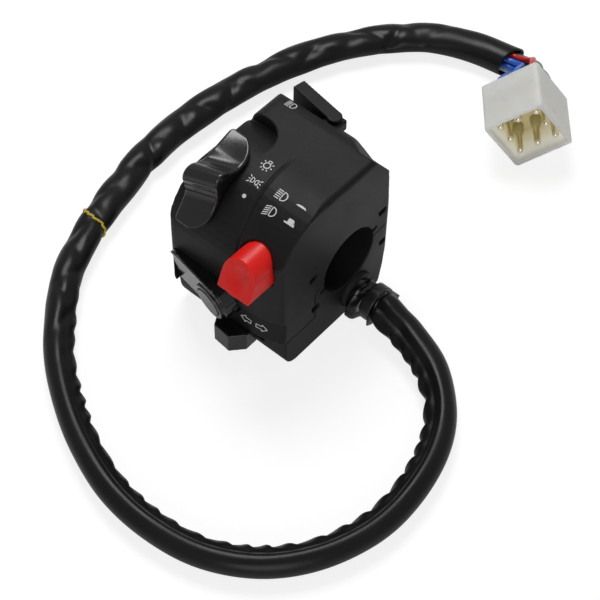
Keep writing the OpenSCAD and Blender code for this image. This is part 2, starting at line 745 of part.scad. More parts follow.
module dimmer_plunger() color([0.9, 0.9, 0.86]) {
    block([dim_x - dim_stem / 2, dim_flange_y + dim_flange_t + seat_gap, dim_stem_z - dim_stem / 2],
        [dim_x + dim_stem / 2, dim_stem_y, dim_stem_z + dim_stem / 2]);
    block([dim_x - dim_stem / 2 + 1, dim_flange_y - 2.5, dim_stem_z - dim_stem / 2 + 1],
        [dim_x + dim_stem / 2 - 1, dim_flange_y + dim_flange_t + 0.2, dim_stem_z + dim_stem / 2 - 1]);
}

module dimmer_spring() color([0.7, 0.7, 0.72])
    translate([dim_x, dim_stem_y + seat_gap, dim_stem_z]) rotate([-90, 0, 0])
        spring(2.4, 0.3, dim_pocket_y - dim_stem_y - 2 * seat_gap, 6);

module dimmer_body() color([0.2, 0.2, 0.22])
    difference() {
        block([dim_x - dim_body_w / 2, dim_body_y0, dim_body_z0],
            [dim_x + dim_body_w / 2, dim_body_y1, dim_body_z1]);
        block([dim_x - dim_stem / 2 - slide_gap, dim_body_y0 - 1, dim_stem_z - dim_stem / 2 - slide_gap],
            [dim_x + dim_stem / 2 + slide_gap, dim_pocket_y, dim_stem_z + dim_stem / 2 + slide_gap]);
        for (s = [-1, 1])
            translate([dim_x + s * post_out, post_y, dim_body_z0 - 1])
                cylinder(h = far, r = 0.8 + seat_gap);
        for (k = [-1, 0, 1])
            translate([dim_x + 3 * k - 0.9 - seat_gap, dim_body_y0 + 2, dim_body_z0 - 1])
                cube([1.8 + 2 * seat_gap, 0.6 + 2 * seat_gap, 2.5]);
    }

module dimmer_terminals() color([0.8, 0.62, 0.25])
    for (k = [-1, 0, 1])
        translate([dim_x + 3 * k - 0.9, dim_body_y0 + 2 + seat_gap, dim_body_z0 - 1.6]) cube([1.8, 0.6, 3]);

module module_screws() color([0.75, 0.76, 0.78])
    for (s = [-1, 1])
        translate([dim_x + s * post_out, post_y, dim_body_z0]) {
            cylinder(h = dim_body_z1 - dim_body_z0 + 3, r = 0.75);
            translate([0, 0, -1]) cylinder(h = 1, r = 1.6);
        }

module turn_knob() color([0.05, 0.05, 0.06])
    difference() {
        translate([0, 0, turn_z0]) linear_extrude(turn_h)
            polygon([[turn_x - turn_w / 2, turn_back], [turn_x - turn_w / 2, turn_tip + 3.2],
                [turn_x - turn_w / 2 + 1.4, turn_tip + 0.6], [turn_x + turn_w / 2 - 3.6, turn_tip],
                [turn_x + turn_w / 2, turn_tip + 4], [turn_x + turn_w / 2, turn_back]]);
        block([turn_x - turn_stem_w / 2 + 0.8 - seat_gap, turn_back - 4,
            turn_stem_z - turn_stem_h / 2 + 0.6 - seat_gap],
            [turn_x + turn_stem_w / 2 - 0.8 + seat_gap, turn_back + 1,
                turn_stem_z + turn_stem_h / 2 - 0.6 + seat_gap]);
    }

module turn_carriage() color([0.9, 0.9, 0.86])
    difference() {
        union() {
            block([turn_x - carriage_w / 2, carriage_y0, turn_stem_z - carriage_h / 2],
                [turn_x + carriage_w / 2, carriage_y1, turn_stem_z + carriage_h / 2]);
            block([turn_x - turn_stem_w / 2, turn_back + seat_gap, turn_stem_z - turn_stem_h / 2],
                [turn_x + turn_stem_w / 2, carriage_y0 + 0.1, turn_stem_z + turn_stem_h / 2]);
            block([turn_x - turn_stem_w / 2 + 0.8, turn_back - 3.5, turn_stem_z - turn_stem_h / 2 + 0.6],
                [turn_x + turn_stem_w / 2 - 0.8, turn_back + 0.2, turn_stem_z + turn_stem_h / 2 - 0.6]);
        }
        translate([turn_x, 0, turn_stem_z]) rod_y(carriage_y1 - 2.4, carriage_y1 + 1, ball_r + 0.1);
        for (s = [-1, 1])
            translate([turn_x + 3.2 * s, 0, turn_stem_z])
                rod_y(carriage_y1 - 1.4, carriage_y1 + 1, 0.7 + seat_gap);
    }

module turn_ball() color([0.75, 0.76, 0.78])
    translate([turn_x, turn_board_y0 - 0.3 - ball_r, turn_stem_z]) sphere(r = ball_r);

module turn_bridge() color([0.8, 0.62, 0.25])
    for (s = [-1, 1])
        translate([turn_x + 3.2 * s, 0, turn_stem_z]) rod_y(carriage_y1 - 1.35, turn_board_y0 - 0.35, 0.7);

module turn_board() color([0.45, 0.28, 0.14])
    difference() {
        block([turn_x - turn_board_w / 2, turn_board_y0, -case_drop + wall + seat_gap],
            [turn_x + turn_board_w / 2, turn_board_y0 + turn_board_t, turn_board_z1]);
        for (k = [-1, 0, 1])
            translate([turn_x + (carriage_w / 2 - 1) * k, 0, turn_stem_z + 3])
                rod_y(turn_board_y0 - 1, turn_board_y0 + turn_board_t + 1, 0.8 + seat_gap);
    }

module turn_terminals() color([0.8, 0.62, 0.25])
    for (k = [-1, 0, 1])
        translate([turn_x + (carriage_w / 2 - 1) * k, 0, turn_stem_z + 3]) {
            rod_y(turn_board_y0, turn_board_y0 + turn_board_t + 1.6, 0.8);
        }

module horn_bezel() color([0.04, 0.04, 0.05])
    difference() {
        union() {
            difference() {
                intersection() {
                    along_y(-case_front - 12, bezel_back) bezel_outline(0);
                    horn_frame() union() {
                        block([-far, 0, -far], [far, far, far]);
                        // Hood that stands out over the button
                        block([-far, -hood_out, hood_z], [far, far, far]);
                    }
                }
                intersection() {
                    along_y(-case_front - 12, bezel_back + 1) bezel_outline(-bezel_skin);
                    horn_frame() block([-far, bezel_skin, -far], [far, far, far]);
                }
            }
            horn_frame() rod_y(-horn_rim_out, horn_rim_in, horn_r + horn_rim);
            horn_frame() rod_y(0, horn_plate_y - seat_gap, horn_guide_out);
        }
        horn_frame() rod_y(-far / 4, far / 4, horn_r + slide_gap);
        horn_frame() rod_y(horn_rim_in, far / 4, horn_guide_in);
    }

module horn_button() color([0.05, 0.05, 0.06])
    horn_frame() {
        rod_y(horn_face, horn_flange_y + 0.1, horn_r);
        rod_y(horn_flange_y, horn_flange_y + horn_flange_t, horn_flange_r);
        rod_y(horn_flange_y, horn_plate_y - 0.4, horn_stem_r);
    }

module horn_spring() color([0.7, 0.7, 0.72])
    horn_frame() translate([0, horn_flange_y + horn_flange_t + seat_gap, 0]) rotate([-90, 0, 0])
        spring(horn_stem_r + 1, 0.3, horn_plate_y - horn_flange_y - horn_flange_t - 2 * seat_gap, 4);

module horn_plate() color([0.45, 0.28, 0.14])
    horn_frame() difference() {
        rod_y(horn_plate_y, horn_plate_y + horn_plate_t, horn_guide_out);
        rod_y(0, far, horn_stem_r + slide_gap);
    }

module horn_contact() color([0.8, 0.62, 0.25])
    horn_frame() difference() {
        rod_y(horn_plate_y + horn_plate_t + seat_gap, horn_plate_y + horn_plate_t + seat_gap + 0.5, 3.2);
        rod_y(0, far, horn_stem_r + slide_gap);
    }

module pass_frame() { translate([pass_x, pass_y, 0]) rotate([0, 0, -pass_angle]) children(); }
module pass_lever() color([0.05, 0.05, 0.06])
    difference() {
        pass_frame() union() {
            block([-pass_l, -pass_in, pass_z0], [-pass_lug_r - 0.7, pass_out, pass_z2]);
            // Knuckle between the lugs
            block([-pass_lug_r - 1, -pass_in, pass_z0 + pass_lug_h - 1 + slide_gap],
                [0, pass_knuckle_r - 0.1, pass_z1 - pass_lug_h - slide_gap]);
            translate([0, 0, pass_z0 + pass_lug_h - 1 + slide_gap])
                cylinder(h = pass_z1 - pass_z0 - 2 * pass_lug_h + 1 - 2 * slide_gap, r = pass_knuckle_r);
            // Cap over the upper lug
            block([-pass_lug_r - 1, -pass_in, pass_z2 - pass_cap], [0, pass_knuckle_r - 0.1, pass_z2]);
            translate([0, 0, pass_z2 - pass_cap]) cylinder(h = pass_cap, r = pass_knuckle_r);
            block([pass_finger_x - pass_finger_w, -pass_finger_l, pass_finger_z - pass_finger_h],
                [pass_finger_x + pass_finger_w, -pass_in + 0.1, pass_finger_z + pass_finger_h]);
        }
        translate([pass_x, pass_y, 0]) cylinder(h = pass_z1 + slide_gap / 2, r = pass_pin_r + run_gap);
    }

module pass_pin() color([0.75, 0.76, 0.78])
    translate([pass_x, pass_y, pass_z0 - 0.5 + seat_gap])
        cylinder(h = pass_z1 - pass_z0 + 0.5 - seat_gap, r = pass_pin_r);

pass_spring_l = pass_y - pass_notch_y - pass_in / cos(pass_angle) - pass_spring_x * tan(pass_angle) - 0.6;
module pass_spring() color([0.7, 0.7, 0.72])
    translate([pass_x + pass_spring_x, pass_notch_y + seat_gap, pass_finger_z - 4.5]) rotate([-90, 0, 0])
        spring(2, 0.28, pass_spring_l, 4);

module pass_switch() color([0.2, 0.2, 0.22])
    difference() {
        block([pass_x + pass_finger_x - 4.2, pass_switch_y1 - pass_switch_l, pass_finger_z - pass_switch_h / 2],
            [pass_x + pass_finger_x + 4.2, pass_switch_y1, pass_finger_z + pass_switch_h / 2]);
        block([pass_x + pass_finger_x - pass_finger_w - pass_swing, pass_switch_y1 - pass_pocket,
            pass_finger_z - pass_slot],
            [pass_x + pass_finger_x + pass_finger_w + pass_swing, pass_switch_y1 + 1,
                pass_finger_z + pass_slot]);
    }

pass_tag_y = pass_switch_y1 - pass_switch_l / 2;
pass_tag_z = pass_finger_z - pass_switch_h / 2;
module pass_terminals() color([0.8, 0.62, 0.25])
    for (s = [-1, 1])
        block([pass_x + pass_finger_x + 2.4 * s - 0.9, pass_tag_y - 0.3, pass_tag_z - 2.5],
            [pass_x + pass_finger_x + 2.4 * s + 0.9, pass_tag_y + 0.3, pass_tag_z - seat_gap]);

module cable_grommet() color([0.07, 0.07, 0.07])
    translate([0, exit_y, exit_z]) difference() {
        rod_x(half_l - wall - 0.6, half_l + exit_lip, exit_r + exit_lip);
        rod_x(half_l - far / 4, half_l + far / 4, exit_r - exit_lip);
    }

module loom_tape() color([0.05, 0.05, 0.05])
    translate([0, exit_y, exit_z]) rod_x(half_l + exit_lip + seat_gap, sleeve_x0, exit_r - 0.2);

module cable_tie() color([0.03, 0.03, 0.03])
    translate([tie_x, exit_y, exit_z]) {
        difference() {
            rod_x(0, tie_w, exit_r - 0.2 + tie_t);
            rod_x(-1, tie_w + 1, exit_r - 0.2 + seat_gap);
        }
        rotate([-35, 0, 0]) block([-0.6, exit_r + tie_t - 0.5, -2.6],
            [tie_w + 0.6, exit_r + tie_t + 3, 2.6]);
    }

sleeve_line = concat([sleeve_start], smooth(sleeve_route, 2));
module harness_sleeve() color([0.05, 0.05, 0.05]) tube(sleeve_line, sleeve_d / 2, 12);

module plug_frame() { translate(plug_at) rotate([0, -plug_roll, plug_yaw]) children(); }
module connector_housing() color([0.93, 0.92, 0.86])
    plug_frame() difference() {
        along_y(-plug_l / 2, plug_l / 2) polygon(rounded_box(plug_w, plug_h, 1.2));
        along_y(-plug_l / 2 - 1, plug_l / 2 - plug_floor)
            polygon(rounded_box(plug_w - 2 * plug_wall, plug_h - 2 * plug_wall, 0.8));
        for (c = pin_cells)
            translate([c[0] * pin_pitch, 0, c[1] * pin_pitch]) rod_y(-plug_l, plug_l, pin_d / 2 + seat_gap);
    }

module connector_pins() color([0.8, 0.72, 0.5])
    plug_frame() for (c = pin_cells)
        translate([c[0] * pin_pitch, 0, c[1] * pin_pitch]) {
            rod_y(plug_l / 2 - plug_floor - pin_out + pin_d / 2, plug_l / 2, pin_d / 2);
            translate([0, plug_l / 2 - plug_floor - pin_out + pin_d / 2, 0]) sphere(r = pin_d / 2);
        }

// A lead runs from its cell at the connector's back to its place in the sleeve's mouth
function about_z(a, p) = [cos(a) * p[0] - sin(a) * p[1], sin(a) * p[0] + cos(a) * p[1], p[2]];
function about_y(a, p) = [cos(a) * p[0] + sin(a) * p[2], p[1], -sin(a) * p[0] + cos(a) * p[2]];
function plug_point(p) = plug_at + about_z(plug_yaw, about_y(-plug_roll, p));
mouth = sleeve_line[len(sleeve_line) - 1];
mouth_dir = tangent(sleeve_line, len(sleeve_line) - 1);
mouth_side = side_of(mouth_dir);
lead_ring = (wire_d + 0.2) / (2 * sin(22.5));
function lead_start(k) = let (a = 45 * (k + 1) - plug_roll)
    mouth + seat_gap * mouth_dir + lead_ring * (cos(a) * mouth_side + sin(a) * [0, 0, 1]);
lead_bow = 0.4;
lead_straight = 1;
module lead_wires() color([0.2, 0.3, 0.7])
    for (k = [0:len(pin_cells) - 1]) {
        cell = [pin_cells[k][0] * pin_pitch, plug_l / 2 + seat_gap, pin_cells[k][1] * pin_pitch];
        a = lead_start(k) + lead_straight * mouth_dir;
        b = plug_point(cell + [0, lead_straight, 0]);
        bow = lead_bow * norm(b - a);
        back = plug_point(cell + [0, lead_straight + bow, 0]);
        bend = [for (j = [0:10]) let (t = j / 10, s = 1 - t)
            s * s * s * a + 3 * s * s * t * (a + bow * mouth_dir) + 3 * s * t * t * back + t * t * t * b];
        tube(concat([lead_start(k)], bend, [plug_point(cell)]), wire_d / 2, 8);
    }

// Leads inside the casing, from the grommet to the switch bodies
inner_x0 = half_l - 4;
inner_routes = [
    [[inner_x0, exit_y - 2, exit_z], [13, -1, -17.6], [9.5, -6, -17.2], [6, -12.5, -15],
        [4.5, -16.6, -8], [5, -16.8, 0],
        [8, -15, 7], [dim_x, dim_body_y0 + 2.4, dim_body_z0 - 2.8]],
    [[inner_x0, exit_y + 1, exit_z], [8.5, 2, -18.2], [1.5, -6, -18], [-1, -14, -15.5], [-2, -16.8, -8],
        [-5, -17, -1],
        [board_x0 - 0.2, -17.8, 7], [board_x0 - 0.1, -18, board_z0 - 0.9]],
    [[inner_x0, exit_y - 0.5, exit_z - 2.6], [13, -3, -21], [9, -11, -19.5],
        [turn_x, turn_board_y0 + turn_board_t + 2.6, turn_stem_z + 3]]
];
module inner_leads() color([0.6, 0.1, 0.1])
    for (r = inner_routes) tube(smooth(r, 3), wire_d / 2 - 0.1, 8);

upper_case();
lower_case();
clamp_screws();
light_slider();
light_rotor();
light_ball();
light_ball_spring();
light_wiper();
light_pin();
light_board();
light_contacts();
dimmer_button();
dimmer_plunger();
dimmer_spring();
dimmer_body();
dimmer_terminals();
module_screws();
turn_knob();
turn_carriage();
turn_ball();
turn_bridge();
turn_board();
turn_terminals();
horn_bezel();
horn_button();
horn_spring();
horn_plate();
horn_contact();
pass_lever();
pass_pin();
pass_spring();
pass_switch();
pass_terminals();
cable_grommet();
loom_tape();
cable_tie();
harness_sleeve();
lead_wires();
connector_housing();
connector_pins();
inner_leads();
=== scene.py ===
import math
import random

import bmesh
import bpy
from mathutils import Matrix, Vector, noise
from mathutils.bvhtree import BVHTree


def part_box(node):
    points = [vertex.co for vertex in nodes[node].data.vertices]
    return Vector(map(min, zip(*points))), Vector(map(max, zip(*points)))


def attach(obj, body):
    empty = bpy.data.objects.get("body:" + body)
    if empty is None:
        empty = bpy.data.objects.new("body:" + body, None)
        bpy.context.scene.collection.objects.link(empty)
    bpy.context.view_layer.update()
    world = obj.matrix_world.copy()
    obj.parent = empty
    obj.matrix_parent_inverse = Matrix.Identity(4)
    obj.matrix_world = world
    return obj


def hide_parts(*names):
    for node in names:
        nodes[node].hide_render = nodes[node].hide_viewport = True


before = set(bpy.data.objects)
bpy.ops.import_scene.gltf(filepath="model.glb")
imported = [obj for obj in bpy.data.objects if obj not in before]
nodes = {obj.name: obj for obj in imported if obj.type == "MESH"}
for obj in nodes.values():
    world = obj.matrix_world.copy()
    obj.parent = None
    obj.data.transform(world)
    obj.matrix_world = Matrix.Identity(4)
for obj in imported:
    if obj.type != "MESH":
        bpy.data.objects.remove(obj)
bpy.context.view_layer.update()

# Camera: a long lens, a little over half way up, looking down on the casing's inboard end and front.
# Its place was worked out from the handlebar bore and the casing's edges.
mm = 0.001
camera_data = bpy.data.cameras.new("photo_camera")
camera_data.sensor_width = 36
camera_data.lens = 98.5
camera_data.clip_start = 0.01
photo_camera = bpy.data.objects.new("photo_camera", camera_data)
bpy.context.scene.collection.objects.link(photo_camera)
camera_turn = (Matrix.Rotation(math.radians(39.73), 4, "Z")
               @ Matrix.Rotation(math.radians(90 - 52.83), 4, "X")
               @ Matrix.Rotation(math.radians(1.34), 4, "Z"))
photo_camera.matrix_world = Matrix.Translation(Vector((203, -240.5, 376.8)) * mm) @ camera_turn
bpy.context.scene.camera = photo_camera

# Harness sleeve: a loose tube of soft black vinyl over the leads, cut to length and laid on the table.
# It is round where the leads fill it, ruffles up along the inside of its bend, and lies flat and dented
# on the far side, where it is slack.
table_z = -25.4
sleeve_z = -20.2
sleeve_route = [
    (31.75, 4, -17.85), (33.75, 3.8, -17.85), (38, 3.0, -18.6), (44, 2.0, -19.4),
    (57, -3, sleeve_z), (68, -12.6, sleeve_z),
    (75, -26, sleeve_z), (78, -42, sleeve_z), (77, -57, sleeve_z), (71, -72, sleeve_z),
    (61, -84, sleeve_z), (47, -92, sleeve_z), (31, -95, sleeve_z), (15, -94, sleeve_z),
    (-1, -89, sleeve_z), (-15, -82, sleeve_z), (-28, -73, sleeve_z), (-39, -62, sleeve_z),
    (-49, -49, sleeve_z), (-56, -34, sleeve_z), (-61, -17, sleeve_z), (-65, 2, sleeve_z),
    (-66, 21, sleeve_z), (-64, 41, sleeve_z), (-60, 60, sleeve_z), (-53, 78, sleeve_z),
    (-43, 94, sleeve_z), (-31, 106, sleeve_z), (-17, 113, sleeve_z), (-2, 115.8, sleeve_z),
]


def curve_through(points, step):
    """An even line of points, step apart, on the smooth curve through the chosen ones."""
    points = [Vector(p) for p in points]
    points = [2 * points[0] - points[1]] + points + [2 * points[-1] - points[-2]]
    fine = []
    for k in range(1, len(points) - 2):
        a, b, c, d = points[k - 1:k + 3]
        for j in range(40):
            t = j / 40
            fine.append(0.5 * (2 * b + (c - a) * t + (2 * a - 5 * b + 4 * c - d) * t ** 2
                               + (3 * b - a - 3 * c + d) * t ** 3))
    fine.append(points[-2].copy())
    run = [0.0]
    for a, b in zip(fine, fine[1:]):
        run.append(run[-1] + (b - a).length)
    count = max(2, round(run[-1] / step))
    even = []
    k = 0
    for j in range(count + 1):
        goal = run[-1] * j / count
        while k < len(run) - 2 and run[k + 1] < goal:
            k += 1
        share = (goal - run[k]) / max(run[k + 1] - run[k], 1e-9)
        even.append(fine[k].lerp(fine[k + 1], min(share, 1)))
    return even, run[-1]


def between(table, s):
    """Reads a table of (place, value) pairs with an eased line between them."""
    if s <= table[0][0]:
        return table[0][1]
    for (a, x), (b, y) in zip(table, table[1:]):
        if s <= b:
            t = (s - a) / (b - a)
            return x + (y - x) * t * t * (3 - 2 * t)
    return table[-1][1]


def new_piece(name, mesh):
    """Puts a mesh into the scene as a smooth-shaded object."""
    piece = bpy.data.objects.new(name, mesh)
    bpy.context.scene.collection.objects.link(piece)
    mesh.polygons.foreach_set("use_smooth", [True] * len(mesh.polygons))
    return piece


def loft(rings, close_start=True, close_end=True):
    """A skin of quads over rings of points in millimetres, as a mesh in metres."""
    sides = len(rings[0])
    verts = [p * mm for ring in rings for p in ring]
    faces = []
    for k in range(len(rings) - 1):
        for j in range(sides):
            i = (j + 1) % sides
            faces.append((k * sides + j, k * sides + i, (k + 1) * sides + i, (k + 1) * sides + j))
    if close_start:
        faces.append(tuple(range(sides))[::-1])
    if close_end:
        faces.append(tuple((len(rings) - 1) * sides + j for j in range(sides)))
    mesh = bpy.data.meshes.new("loft")
    mesh.from_pydata(verts, [], faces)
    mesh.update()
    return mesh


sleeve_line, sleeve_length = curve_through(sleeve_route, 0.7)
half_width = [(0, 5.3), (20, 5.2), (40, 4.3), (110, 4.0), (200, 4.1), (240, 4.7),
              (290, 5.5), (330, 5.8), (446, 5.9)]
half_height = [(0, 4.6), (30, 4.5), (60, 4.1), (200, 4.1), (250, 4.0), (300, 3.8), (390, 4.0), (446, 5.1)]
loose_fin = [(0, 1.5), (8, 1.3), (18, 0.8), (36, 1.0), (130, 1.0), (190, 0.85), (232, 0.5), (258, 0)]
slackness = [(205, 0), (250, 0.8), (290, 1), (400, 1), (430, 0.4), (446, 0.15)]
dent_maker = random.Random(11)
dents = []
dent_at = 214.0
dent_lean = 1
while dent_at < 434:
    dents.append({"at": dent_at, "round": math.radians(90 + dent_maker.uniform(-40, 34)),
                  "lean": dent_lean * math.radians(dent_maker.uniform(30, 62)),
                  "deep": dent_maker.uniform(0.7, 1.35),
                  "narrow": dent_maker.uniform(1.7, 3.2), "long": dent_maker.uniform(5, 9)})
    dent_at += dent_maker.uniform(6, 11)
    dent_lean = -dent_lean


def turn_from(angle, middle):
    """How far an angle lies from another one, the short way round."""
    return math.atan2(math.sin(angle - middle), math.cos(angle - middle))


def sleeve_shape(s, angle):
    """How far the sleeve's skin lies from its centreline: inwards of the bend and upwards, in millimetres."""
    slack = between(slackness, s)
    fin = between(loose_fin, s)
    across = math.cos(angle)
    upward = math.sin(angle)
    swell = 1 + 0.03 * noise.noise(Vector((s * 0.05, across * 0.9, upward * 0.9)))
    swell += 0.05 * slack * noise.noise(Vector((s * 0.1, across * 1.3 + 7, upward * 1.3)))
    phase = s / 7.6 + 0.55 * noise.noise(Vector((s * 0.05, 4.2, 1.1)))
    wave = abs(math.sin(math.pi * phase))
    twist = math.sin(2 * math.pi * phase + 0.8)
    size = 0.65 + 0.6 * noise.noise(Vector((s * 0.045, 8.5, 2.3)))
    inner = turn_from(angle, 0.15)
    edge = math.exp(-(inner / 0.36) ** 2)
    fold = fin * edge * (0.25 + 1.45 * wave * size)
    flap = fin * edge * 0.9 * twist * size
    tuck = fin * 0.75 * math.exp(-((inner - 0.8) / 0.3) ** 2)
    press = 0.0
    for dent in dents:
        along = s - dent["at"]
        if abs(along) < 18:
            around = 4.6 * turn_from(angle, dent["round"])
            u = along * math.cos(dent["lean"]) + around * math.sin(dent["lean"])
            v = around * math.cos(dent["lean"]) - along * math.sin(dent["lean"])
            press += dent["deep"] * math.exp(-(abs(u) / dent["narrow"]) ** 1.7 - (v / dent["long"]) ** 2)
    reach = swell - (tuck + min(press, 1.6) * slack) / 4.6
    return (across * between(half_width, s) * reach + fold,
            upward * between(half_height, s) * reach + flap)


def sleeve_frame(k):
    """Centre, heading, inner side and upward direction at a point of the sleeve's line."""
    heading = (sleeve_line[min(k + 1, len(sleeve_line) - 1)] - sleeve_line[max(k - 1, 0)]).normalized()
    side = heading.cross(Vector((0, 0, 1))).normalized()
    return sleeve_line[k], heading, side, side.cross(heading)


sleeve_sides = 56
mouth_lip = 4.2
lip_run = 12
sleeve_rings = []
for k in range(len(sleeve_line)):
    centre, heading, side, up = sleeve_frame(k)
    s = sleeve_length * k / (len(sleeve_line) - 1)
    ring = []
    for j in range(sleeve_sides):
        out, rise = sleeve_shape(s, 2 * math.pi * j / sleeve_sides)
        lip = mouth_lip * max(0, (s - sleeve_length + lip_run) / lip_run)
        point = centre + side * out + up * rise - heading * lip * math.cos(2 * math.pi * j / sleeve_sides) / 2
        point.z = max(point.z, table_z + 0.05)
        ring.append(point)
    sleeve_rings.append(ring)
mouth_centre, mouth_heading, mouth_side, mouth_up = sleeve_frame(len(sleeve_line) - 1)
skin = 0.5
for back in (0.0, 1.5, 4.0, 8.0):
    ring = sleeve_rings[len(sleeve_line) - 1 - round(back / 0.7)]
    middle = sum(ring, Vector()) / sleeve_sides
    sleeve_rings.append([p + (middle - p).normalized() * skin for p in ring])
sleeve_mesh = loft(sleeve_rings)
sleeve = new_piece("sleeve", sleeve_mesh)


def new_material(name):
    """An empty node material with its Principled shader."""
    material = bpy.data.materials.new(name)
    material.use_nodes = True
    tree = material.node_tree
    return material, tree.nodes, tree.links, tree.nodes["Principled BSDF"]


def new_group(name, inputs, outputs):
    """A shader node group with named sockets: each is (name, kind, starting value)."""
    group = bpy.data.node_groups.new(name, "ShaderNodeTree")
    for label, kind, value in inputs:
        socket = group.interface.new_socket(label, in_out="INPUT", socket_type=kind)
        socket.default_value = value
    for label, kind in outputs:
        group.interface.new_socket(label, in_out="OUTPUT", socket_type=kind)
    return group, group.nodes.new("NodeGroupInput"), group.nodes.new("NodeGroupOutput")


def use_group(tree, group, **values):
    """Places a group in a material with its own values."""
    node = tree.nodes.new("ShaderNodeGroup")
    node.node_tree = group
    for label, value in values.items():
        node.inputs[label.replace("_", " ")].default_value = value
    return node


# Handling film: the faint smears and dust that any smooth plastic picks up, as a change of gloss and shade.
film, film_in, film_out = new_group(
    "handling_film",
    [("Shade", "NodeSocketColor", (0.02, 0.02, 0.02, 1)), ("Dust", "NodeSocketColor", (0.2, 0.19, 0.17, 1)),
     ("Dust Amount", "NodeSocketFloat", 0.03), ("Gloss Low", "NodeSocketFloat", 0.3),
     ("Gloss High", "NodeSocketFloat", 0.4), ("Patch Size", "NodeSocketFloat", 90.0)],
    [("Colour", "NodeSocketColor"), ("Roughness", "NodeSocketFloat")])
film_place = film.nodes.new("ShaderNodeTexCoord")
film_patch = film.nodes.new("ShaderNodeTexNoise")
film_patch.inputs["Detail"].default_value = 6
film_range = film.nodes.new("ShaderNodeMapRange")
film_range.inputs["From Min"].default_value = 0.35
film_range.inputs["From Max"].default_value = 0.68
film_dust = film.nodes.new("ShaderNodeMath")
film_dust.operation = "MULTIPLY"
film_mix = film.nodes.new("ShaderNodeMix")
film_mix.data_type = "RGBA"
film.links.new(film_place.outputs["Object"], film_patch.inputs["Vector"])
film.links.new(film_in.outputs["Patch Size"], film_patch.inputs["Scale"])
film.links.new(film_patch.outputs["Fac"], film_range.inputs["Value"])
film.links.new(film_in.outputs["Gloss Low"], film_range.inputs["To Min"])
film.links.new(film_in.outputs["Gloss High"], film_range.inputs["To Max"])
film.links.new(film_range.outputs["Result"], film_out.inputs["Roughness"])
film.links.new(film_patch.outputs["Fac"], film_dust.inputs[0])
film.links.new(film_in.outputs["Dust Amount"], film_dust.inputs[1])
film.links.new(film_dust.outputs["Value"], film_mix.inputs["Factor"])
film.links.new(film_in.outputs["Shade"], film_mix.inputs[6])
film.links.new(film_in.outputs["Dust"], film_mix.inputs[7])
film.links.new(film_mix.outputs[2], film_out.inputs["Colour"])

# Fine skin: a small even grain, as a mould's spark-cut face or a stretched film leaves it.
grain, grain_in, grain_out = new_group(
    "fine_skin",
    [("Grain Size", "NodeSocketFloat", 3000.0), ("Depth", "NodeSocketFloat", 0.05)],
    [("Normal", "NodeSocketVector")])
grain_place = grain.nodes.new("ShaderNodeTexCoord")
grain_noise = grain.nodes.new("ShaderNodeTexNoise")
grain_noise.inputs["Detail"].default_value = 3
grain_bump = grain.nodes.new("ShaderNodeBump")
grain_bump.inputs["Distance"].default_value = 0.0004
grain.links.new(grain_place.outputs["Object"], grain_noise.inputs["Vector"])
grain.links.new(grain_in.outputs["Grain Size"], grain_noise.inputs["Scale"])
grain.links.new(grain_noise.outputs["Fac"], grain_bump.inputs["Height"])
grain.links.new(grain_in.outputs["Depth"], grain_bump.inputs["Strength"])
grain.links.new(grain_bump.outputs["Normal"], grain_out.inputs["Normal"])


def coat_plastic(name, shade, gloss_low, gloss_high, grain_size, grain_depth, dust=0.03, patch=90.0):
    """A plastic with handling film and fine skin on it."""
    material, parts, links, shader = new_material(name)
    worn = use_group(material.node_tree, film, Shade=(*shade, 1), Gloss_Low=gloss_low, Gloss_High=gloss_high,
                     Dust_Amount=dust, Patch_Size=patch)
    skinned = use_group(material.node_tree, grain, Grain_Size=grain_size, Depth=grain_depth)
    links.new(worn.outputs["Colour"], shader.inputs["Base Color"])
    links.new(worn.outputs["Roughness"], shader.inputs["Roughness"])
    links.new(skinned.outputs["Normal"], shader.inputs["Normal"])
    return material, shader


sleeve_vinyl, sleeve_shader = coat_plastic("sleeve_vinyl", (0.007, 0.007, 0.008), 0.27, 0.37, 900.0, 0.04,
                                           dust=0.015, patch=60.0)
sleeve_shader.inputs["Specular IOR Level"].default_value = 0.19
sleeve_mesh.materials.append(sleeve_vinyl)
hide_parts("harness_sleeve")
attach(sleeve, "casing")

# Marker thread: a thin yellow thread tied once round the sleeve, lying in its dents.
thread_at = 271.0
thread_line = []
for j in range(96):
    angle = 2 * math.pi * j / 96
    s = thread_at - 2.4 * math.cos(angle) + 0.8 * math.sin(2 * angle + 0.6)
    k = min(range(len(sleeve_line)), key=lambda n: abs(sleeve_length * n / (len(sleeve_line) - 1) - s))
    centre, heading, side, up = sleeve_frame(k)
    out, rise = sleeve_shape(s, angle)
    point = centre + (side * out + up * rise) * 1.03
    point.z = max(point.z, table_z + 0.45)
    thread_line.append(point)


def tube_rings(line, radius, sides, closed=False):
    """Round rings along a line, carried without twist."""
    rings = []
    side = None
    for k in range(len(line)):
        if closed:
            heading = (line[(k + 1) % len(line)] - line[k - 1]).normalized()
        else:
            heading = (line[min(k + 1, len(line) - 1)] - line[max(k - 1, 0)]).normalized()
        if side is None:
            side = heading.cross(Vector((0, 0, 1)))
            if side.length < 0.2:
                side = heading.cross(Vector((1, 0, 0)))
        side = (side - heading * side.dot(heading)).normalized()
        up = side.cross(heading)
        turns = [2 * math.pi * j / sides for j in range(sides)]
        rings.append([line[k] + radius * (math.cos(turn) * side + math.sin(turn) * up) for turn in turns])
    return rings


